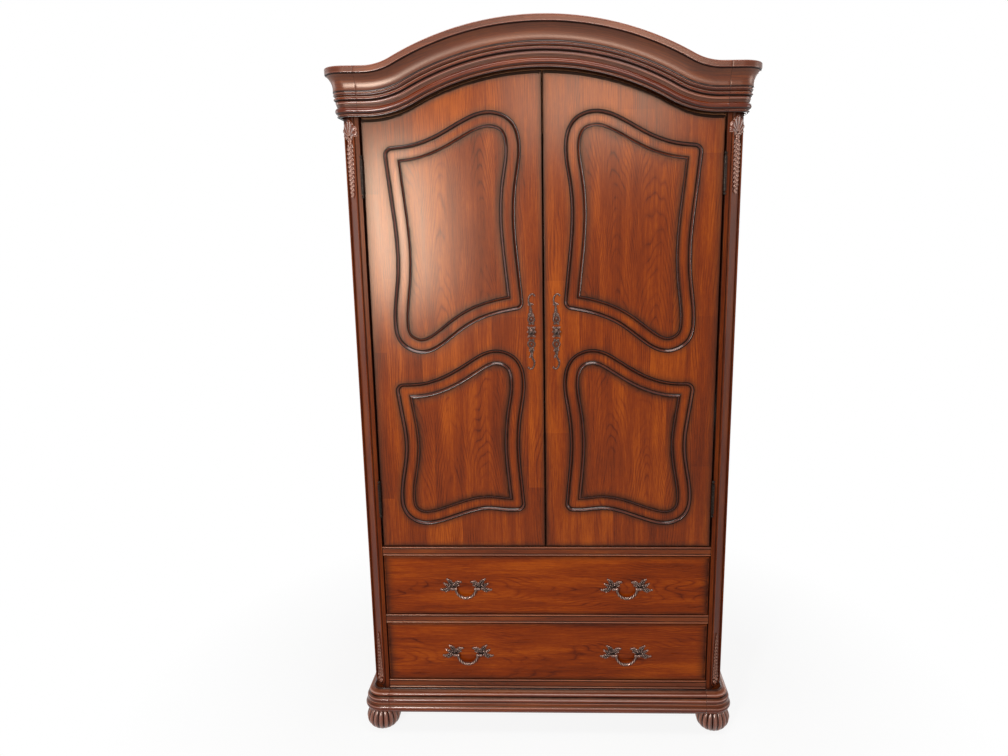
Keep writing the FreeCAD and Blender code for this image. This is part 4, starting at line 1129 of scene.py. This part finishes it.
def upper_drop():
    """A shell over a flower, and leaves and berries that taper down to a tip."""
    r = Relief((-36, -218), (30, 0), 0.6)
    pivot = -50.0
    angle, far = np.degrees(np.arctan2(r.x, r.z - pivot)), np.hypot(r.x, r.z - pivot)
    for k in range(-3, 4):
        phase = (angle - 25 * k) / 12.6
        rim = 49 - 3.2 * abs(k) - (1.2 * k * k if k > 0 else 0)
        over = np.maximum(far - (rim - 7), 0) / 7
        body = np.sqrt(np.maximum(1 - phase ** 2 - over ** 2, 0))
        r.lay(2.6 + (1.6 + 3.4 * far / rim) * body, (np.abs(phase) < 1) & (far < rim) & (far > 6))
    for way in (-1, 1):
        r.curl(12 * way, pivot + 1, 7.5, 6.5, way)
    for k in range(5):
        a = math.radians(72 * k)
        r.dome(5.5 * math.sin(a), pivot - 10 + 5.5 * math.cos(a), 4.3, 4.3, 4.2, 1.5)
    r.dome(0, pivot - 10, 3.6, 3.6, 4.8, 2.5)
    for i in range(12):
        z = pivot - 20 - 12 * i
        half = 16.5 * math.sqrt(1 - (i / 12.5) ** 2)
        r.leaf((0, z + 3), (-half - 1, z - 8), half * 0.66, 5.0)
        r.leaf((0, z - 2), (half + 1, z - 13), half * 0.66, 5.0)
        r.dome(-half * 0.42, z - 6, 3.9 - 0.13 * i, 4.1 - 0.12 * i, 4.2, 1.8)
        r.dome(half * 0.45, z - 1, 3.8 - 0.13 * i, 4.0 - 0.12 * i, 4.2, 1.5)
        r.dome(0.8, z - 10.5, 3.0 - 0.10 * i, 3.2 - 0.10 * i, 4.0, 2.2)
    r.leaf((0, -196), (0, -217), 8, 4.5)
    return r


def lower_drop():
    """Leaves and buds that spread down to three round buds."""
    r = Relief((-17, 0), (17, 184), 0.6)
    for i in range(13):
        z = 170 - 11.5 * i
        half = 4.0 + 11.5 * (i / 12) ** 0.75
        r.leaf((0, z + 6), (-half - 0.6, z - 6), 4.0 + 0.52 * i, 4.6)
        r.leaf((0, z + 1), (half + 0.6, z - 11), 4.0 + 0.52 * i, 4.6)
        r.dome(0, z - 3, 2.0 + 0.12 * i, 3.0 + 0.12 * i, 3.9, 1.9)
    r.leaf((0, 166), (0, 183), 5.5, 4.2)
    for x, z, size in ((-7.5, 14, 5.6), (7.5, 14, 5.6), (0, 7, 6.0), (0, 24, 5.4), (-9, 28, 4.2),
                       (9, 28, 4.2)):
        r.dome(x, z, size, size, 5.0, 1.6)
        r.dome(x, z, size * 0.42, size * 0.42, 2.0, 5.4)
    return r


def on_cant(top):
    """Sets a relief on the canted face, bent round on to the front of the post."""
    def place(u, v, h):
        u, h = u * MM, (h - 3.3) * MM
        bend = np.clip((-cant_half - u) / (1.5 * MM) + 0.5, 0, 1)[:, None]
        flat = cant_middle + u[:, None] * SLOPE
        on_front = np.minimum(u + cant_half, 0)[:, None] * np.array([1.0, 0.0])
        bent = cant_middle - cant_half * SLOPE + on_front
        out = OUTWARD * (1 - bend * 0.5) + np.array([0.0, -1.0]) * bend * 0.5
        out = out / np.linalg.norm(out, axis=1)[:, None]
        xy = flat * (1 - bend) + bent * bend + out * h[:, None]
        return np.column_stack([xy, top + v * MM])
    return place


for kind, relief, look, pale in (("upper", upper_drop(), "carved", -0.75),
                                 ("lower", lower_drop(), "carved_shaded", -0.35)):
    # painted shade in the hollows and low places, and painted highlight on the crests, down to the
    # limit pale
    shade = 0.30 + relief.hollows(3) / 0.24 + relief.hollows(12) / 1.4
    shade = np.maximum(np.clip(shade, pale, 1.2), np.clip(1.3 - relief.h / 1.7, -1, 1.2))
    drop_low, drop_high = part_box(f"{kind}_right_drop")
    for side, mirror in SIDES:
        piece = Sheet()
        relief.build_on(piece, on_cant(drop_high.z if kind == "upper" else drop_low.z), shade,
                        0.0, 0.25)
        piece.build(f"{kind}_{side}_drop_carved", "carcass", look, [f"{kind}_{side}_drop"],
                    mirror, sharp=60)


# ---------------- feet
foot_lobes, foot_radius, per_lobe = 18, 55 * MM, 12
foot_outline = arc3((25 * MM, 0), (46.5 * MM, 0.2 * foot_height),
                    (foot_radius, 0.5 * foot_height), 2 * MM)
foot_outline += arc3((foot_radius, 0.5 * foot_height), (48.5 * MM, 0.8 * foot_height),
                     (35 * MM, foot_height), 2 * MM) + [np.array([35 * MM, foot_height])]


def gadrooned_foot(sheet, x, y):
    """A bun with round lobes that meet in sharp valleys and run in under the foot."""
    angle = circle(foot_lobes * per_lobe)
    phase = (angle * foot_lobes / (2 * math.pi)) % 1.0 * 2 - 1
    bulge = np.sqrt(np.maximum(1 - (0.985 * phase) ** 2, 0))
    rings, grain, masks = [], [], []
    for radius, z in foot_outline:
        fade = np.clip((foot_height - z) / (6 * MM), 0, 1) * np.clip(z / (5 * MM), 0, 1)
        ring = radius - radius * 0.145 * fade * (1 - bulge)
        rings.append(stack(x + ring * np.cos(angle), y + ring * np.sin(angle), z))
        grain.append(stack(angle * foot_radius, z, 0))
        # painted shade in the valleys between lobes and under the foot; painted highlight on the
        # lobes' crests
        masks.append(1.3 - 1.45 * bulge ** 1.8 + 0.5 * (z < 6 * MM))
    sheet.tube(rings, grain, masks)


for pair in ("front_feet", "rear_feet"):
    low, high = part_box(pair)
    feet = Sheet()
    for x in (low.x + foot_radius, high.x - foot_radius):
        gadrooned_foot(feet, x, (low.y + high.y) / 2)
    feet.build(pair + "_gadrooned", "carcass", "carved", [pair], sharp=70)


# ---------------- hardware
def turned(sheet, profile, centre, axis, columns=28, oval=(1.0, 1.0)):
    """A turned or cast round form from (radius, distance along a level axis)."""
    axis, profile, angle = np.array(axis, float), np.array(profile, float), circle(columns)
    spoke = (np.cos(angle)[:, None] * UP * oval[0]
             + np.sin(angle)[:, None] * np.cross(axis, UP) * oval[1])
    rings = [centre + (spoke * r + axis * d) * MM for r, d in profile]
    rubbed = 0.35 * np.clip(profile[:, 0] / profile[:, 0].max() * 1.6 - 0.6, 0, 1)
    sheet.tube(rings, rings, [np.full(columns, share) for share in rubbed])


def door_pull_relief():
    """A scrolled pull: stems and leaves above and below an oval boss."""
    r = Relief((-17, -114), (17, 114), 0.5)
    r.stem([(9.5, 107.5), (6, 111), (0, 110.5), (-5.5, 104), (-8, 95), (-6.5, 86), (-3, 78),
            (-2, 66), (-2, 52)], [2.2, 2.4, 2.6, 2.8, 3.0, 3.0, 3.0, 3.2, 3.4], 1.3)
    r.stem([(0, -52), (1, -66), (2, -78), (6.5, -86), (8, -95), (5.5, -104), (0, -110.5),
            (-6, -111), (-9.5, -107.5)], [3.4, 3.2, 3.0, 3.0, 3.0, 2.8, 2.6, 2.4, 2.2], 1.3)
    for path in ([(0, 48), (-7.5, 42), (-8, 33), (-1, 27)],
                 [(0, 48), (7.5, 42), (8, 33), (1, 27)],
                 [(-1, -27), (-9, -31), (-9, -41), (-1, -48)],
                 [(1, -27), (8, -32), (8, -42), (0, -48)]):
        r.stem(path, [2.6, 2.8, 2.8, 2.6], 1.5)
    for start, end, width, height in (
            ((-5, 84), (7.5, 80.5), 7.5, 4.6), ((-4, 88), (-10, 77), 6, 4.2),
            ((-2, 72), (-1, 50), 10, 4.6), ((-1, 58), (9, 44), 8, 4.8),
            ((-2, 58), (-10, 45), 8, 4.8), ((0, -46), (-8, -59), 8, 4.6),
            ((0, -46), (8, -58), 8, 4.6), ((0, -50), (1, -74), 10, 4.6),
            ((1, -66), (-8, -79), 7, 4.4), ((3, -80), (10.5, -92), 6.5, 4.2)):
        r.leaf(start, end, width, height)
    for way in (-1, 1):
        r.leaf((0, 8), (12.5 * way, 15), 9, 4.6)
        r.leaf((0, 4), (14 * way, -1), 9, 4.2)
        r.leaf((0, -8), (12 * way, -16), 9, 4.6)
        r.dome(9.5 * way, 107.5 * way, 3.2, 3.2, 4.2)
        r.dome(0, 37 * way, 4.2, 5.5, 5.0, 0.6)
        for x in (-5, 5):
            r.dome(x, 24 * way, 4.4, 3.8, 4.6)
    r.dome(0, 0, 10.5, 15, 4.6)
    return r


pull_relief = door_pull_relief()
knob = [(4.2, 0), (4.2, 7), (5.4, 9), (5.4, 10.5), (4.2, 12), (5.5, 13.5), (7.8, 15.5), (9.4, 18),
        (9.9, 20.5), (9.4, 23), (7.8, 25.4), (5.2, 27.0), (2.4, 27.8)]
for side in ("left", "right"):
    low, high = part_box(side + "_door_pull")
    centre = np.array([(low.x + high.x) / 2, face_y, (low.z + high.z) / 2])
    pull = Sheet()
    pull_relief.build_on(pull, lambda x, z, h: centre + stack(x, -h, z) * MM,
                         pull_relief.worn(), -0.3, 0.1)
    turned(pull, knob, centre, (0, -1, 0), oval=(1.12, 0.88))
    pull.build(side + "_door_pull_cast", side + "_door", "hardware", [side + "_door_pull"],
               sharp=60)


def leaf_end_relief():
    """The right-hand leaf end of a drawer pull: outwards is +x, from the pull's middle."""
    r = Relief((10, -18), (86, 34), 0.5)
    for start, end, width, height, bend in (
            ((44, 4), (60.5, 31), 15, 5.2, -2.0), ((48, 2), (73, 17), 11, 4.8, 1.5),
            ((48, 0), (81, -8), 14, 5.4, 3.0), ((47, -1), (67, -15), 10, 4.6, 0),
            ((46, 6), (29, 20), 12, 5.0, -1.5), ((36, 10), (14.5, 20.5), 13, 5.4, 2.0),
            ((40, 4), (22, 8), 10, 4.4, 0), ((44, 2), (33, -9), 8, 4.2, 0)):
        r.leaf(start, end, width, height, bend)
    for x, z, a, b, height in (
            (79.5, -7.0, 4.0, 3.6, 5.2), (65.5, -13.5, 3.2, 3.2, 4.6), (17.5, 19, 4.2, 3.8, 5.6),
            (23.5, 7.6, 3.2, 3.0, 4.6), (60, 28.5, 3.6, 3.6, 5.4)):
        r.dome(x, z, a, b, height)
    r.dome(43, 3, 8.5, 8.0, 5.6, 0.8)
    for x, z in ((51, 9), (54, 3.5), (50, -3), (38, 9.5), (57, -3.5)):
        r.dome(x, z, 2.6, 2.6, 3.4, 2.6)
    return r


def bail_ring(centre, radius=31.5):
    """The hanging bow of a pull: thickest in its middle, with a cast twist and collars."""
    turn = circle(20)
    rings, masks = [], []
    for a in np.linspace(0, math.pi, 73):
        t = abs(a - math.pi / 2) / (math.pi / 2)
        twist = 0.30 * np.cos(3 * turn + 26 * t) * (t < 0.8) * (t > 0.08)
        thick = 3.55 + 0.75 * (1 - t) + 0.35 * peak(t, 0.85, 0.03) + 0.25 * peak(t, 0, 0.05)
        spoke = stack(np.cos(turn) * math.cos(a), np.sin(turn), -np.cos(turn) * math.sin(a))
        path = np.array([math.cos(a), 0, -math.sin(a)]) * radius
        rings.append((path + spoke * (thick + twist)[:, None]) * MM + centre)
        masks.append(np.clip(0.25 + 1.8 * twist, 0.05, 1.0))
    ring = Sheet()
    ring.tube(rings, rings, masks)
    for end in (-1, 1):
        turned(ring, [(3.6, 0), (4.8, 0.8), (4.9, 3.5), (4.9, 6.5), (4.0, 7.4), (4.6, 8.4),
                      (4.6, 9.8), (3.9, 10.4), (2.15, 10.5), (2.15, 20.0)],
               centre + (end * 27 * MM, 0, 0), (end, 0, 0), 22)
    return ring


end_relief = leaf_end_relief()
bail_forward, ear_x = 11.0 * MM, 42.0 * MM
for kind in KINDS:
    mounts = Sheet()
    for word in ("left", "right"):
        low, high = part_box(f"{kind}_{word}_bail")
        pivot = np.array([(low.x + high.x) / 2, face_y, high.z - 5 * MM])
        axle = pivot - (0, bail_forward, 0)
        for end in (-1, 1):
            end_relief.build_on(mounts, lambda x, z, h: pivot + stack(end * x, -h, z) * MM,
                                end_relief.worn(), -0.3, 0.1)
            turned(mounts, [(4.6, 1), (4.2, 5), (3.7, 7.5), (3.7, 10.2)],
                   pivot + (end * ear_x, 0, 0), (0, -1, 0), 20)
            turned(mounts, [(2.6, -4), (4.6, -4), (5.0, -3.4), (5.0, -2.2), (4.3, -1.6),
                            (4.6, 0), (4.3, 1.6), (5.0, 2.2), (5.0, 3.4), (4.6, 4), (2.6, 4)],
                   axle + (end * ear_x, 0, 0), (1, 0, 0), 24)
        bail_ring(axle).build(f"{kind}_{word}_bail_cast", f"{kind}_{word}_pull_bail", "hardware",
                              [f"{kind}_{word}_bail"], sharp=60)
    mounts.build(kind + "_pull_mounts_cast", kind + "_drawer", "hardware", [kind + "_pull_mounts"],
                 sharp=60)


# ---------------- CAD pieces that stay
kept = {
    "case_z": ["left_side_panel", "right_side_panel"],
    "frieze_shadow": ["frieze_board"],
    "inner_x": ["header_rail", "top_panel", "bottom_panel", "compartment_floor", "tv_shelf",
                "component_divider", "adjustable_shelf"],
    "box_y": ["drawer_runners", "upper_drawer_sides", "lower_drawer_sides"],
    "box_x": ["upper_drawer_back", "lower_drawer_back"],
    "board_x": ["back_panel", "dust_panel", "upper_drawer_bottom", "lower_drawer_bottom"],
    "hardware_plain": ["hinge_jamb_leaves", "left_door_hinges", "right_door_hinges"],
    "steel": ["shelf_pins", "left_catch_plate", "right_catch_plate"],
    "plastic": ["catch_magnets"],
}
for key, names in kept.items():
    for name in names:
        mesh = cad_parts[name].data
        mesh.materials.clear()
        mesh.materials.append(materials[key])


# ---------------- floor, light and camera
def background_rays(look):
    """1 for the rays that see the white background, in metal and glass too."""
    rays = look.node("LightPath")
    seen, mirrored, through = (Wire(look, rays.outputs[name]) for name in (
        "Is Camera Ray", "Is Glossy Ray", "Is Transmission Ray"))
    return seen.maths("MAXIMUM", mirrored.maths("MAXIMUM", through))


floor_half = 30.0
floor_mesh = bpy.data.meshes.new("floor")
floor_mesh.from_pydata([(-floor_half, -floor_half, 0), (floor_half, -floor_half, 0),
                        (floor_half, floor_half, 0), (-floor_half, floor_half, 0)], [],
                       [(0, 1, 2, 3)])
floor_material = bpy.data.materials.new("pale_floor")
look = Look(floor_material)
away = look.wire("VectorMath", {0: look.wire("TexCoord", None, "Object")}, "Value",
                 operation="LENGTH")
look.node("OutputMaterial", {"Surface": look.wire("MixShader", {
    0: background_rays(look) * away.remap(0.8, 1.5, 0.88, 1.0),
    1: look.wire("BsdfDiffuse", {"Color": (0.82, 0.82, 0.81, 1)}),
    2: look.wire("Emission", {"Color": (1, 1, 1, 1), "Strength": 1.0})})})
floor_mesh.materials.append(floor_material)
floor = bpy.data.objects.new("floor", floor_mesh)
bpy.context.scene.collection.objects.link(floor)

world = bpy.data.worlds.new("studio")
bpy.context.scene.world = world
look = Look(world)
look.node("OutputWorld", {"Surface": look.wire("MixShader", {
    0: background_rays(look),
    1: look.wire("Background", {"Color": (1, 1, 1, 1), "Strength": 0.1}),
    2: look.wire("Background", {"Color": (1, 1, 1, 1), "Strength": 1.0})})})

for name, place, aim, size, power in (
        ("window", (-1.02, -3.0, 1.64), (-0.5, 0, 1.42), (0.4, 0.95), 58),
        ("sky", (0.25, -3.2, 2.42), (0.0, 0, 1.4), (1.1, 0.5), 23),
        ("side_fill", (-1.7, -2.4, 0.9), (-0.4, 0, 0.7), (0.8, 0.8), 3.2),
        ("ceiling", (-0.1, -0.9, 3.6), (-0.1, -0.75, 1.0), (1.9, 0.8), 39),
        ("rear_fill", (1.5, 3.4, 1.9), (0.1, 0.33, 1.1), (1.8, 1.6), 44),
        ("right_fill", (3.6, -0.4, 1.7), (0.6, 0.2, 1.1), (1.4, 1.6), 27),
        ("left_fill", (-3.6, 0.5, 1.7), (-0.6, 0.2, 1.1), (1.4, 1.6), 14)):
    light = bpy.data.lights.new(name, "AREA")
    light.shape, light.energy = "RECTANGLE", power
    light.size, light.size_y = size
    lamp = bpy.data.objects.new(name, light)
    lamp.location = place
    lamp.rotation_euler = (Vector(aim) - Vector(place)).to_track_quat("-Z", "Y").to_euler()
    lamp.visible_camera = False
    bpy.context.scene.collection.objects.link(lamp)

# the camera that was fitted to the photograph
camera_data = bpy.data.cameras.new("camera")
camera_data.lens, camera_data.sensor_width = 27.036, 36.0
camera_data.shift_x, camera_data.shift_y = -0.0382, 0.0072
camera = bpy.data.objects.new("camera", camera_data)
level = Vector((0.99968458, 0.02410544, -0.0070474))
steep = Vector((0.00201085, 0.20288388, 0.97920074))
forward = Vector((-0.02503387, 0.97890605, -0.20277142))
tilt = 0.002
right = level * math.cos(tilt) - steep * math.sin(tilt)
upward = steep * math.cos(tilt) + level * math.sin(tilt)
turn = Matrix((right, upward, -forward)).transposed()
camera.matrix_world = Matrix.Translation((0.0512, -2.5134, 1.6224)) @ turn.to_4x4()
bpy.context.scene.collection.objects.link(camera)
bpy.context.scene.camera = camera
bpy.context.scene.view_settings.view_transform = "Standard"
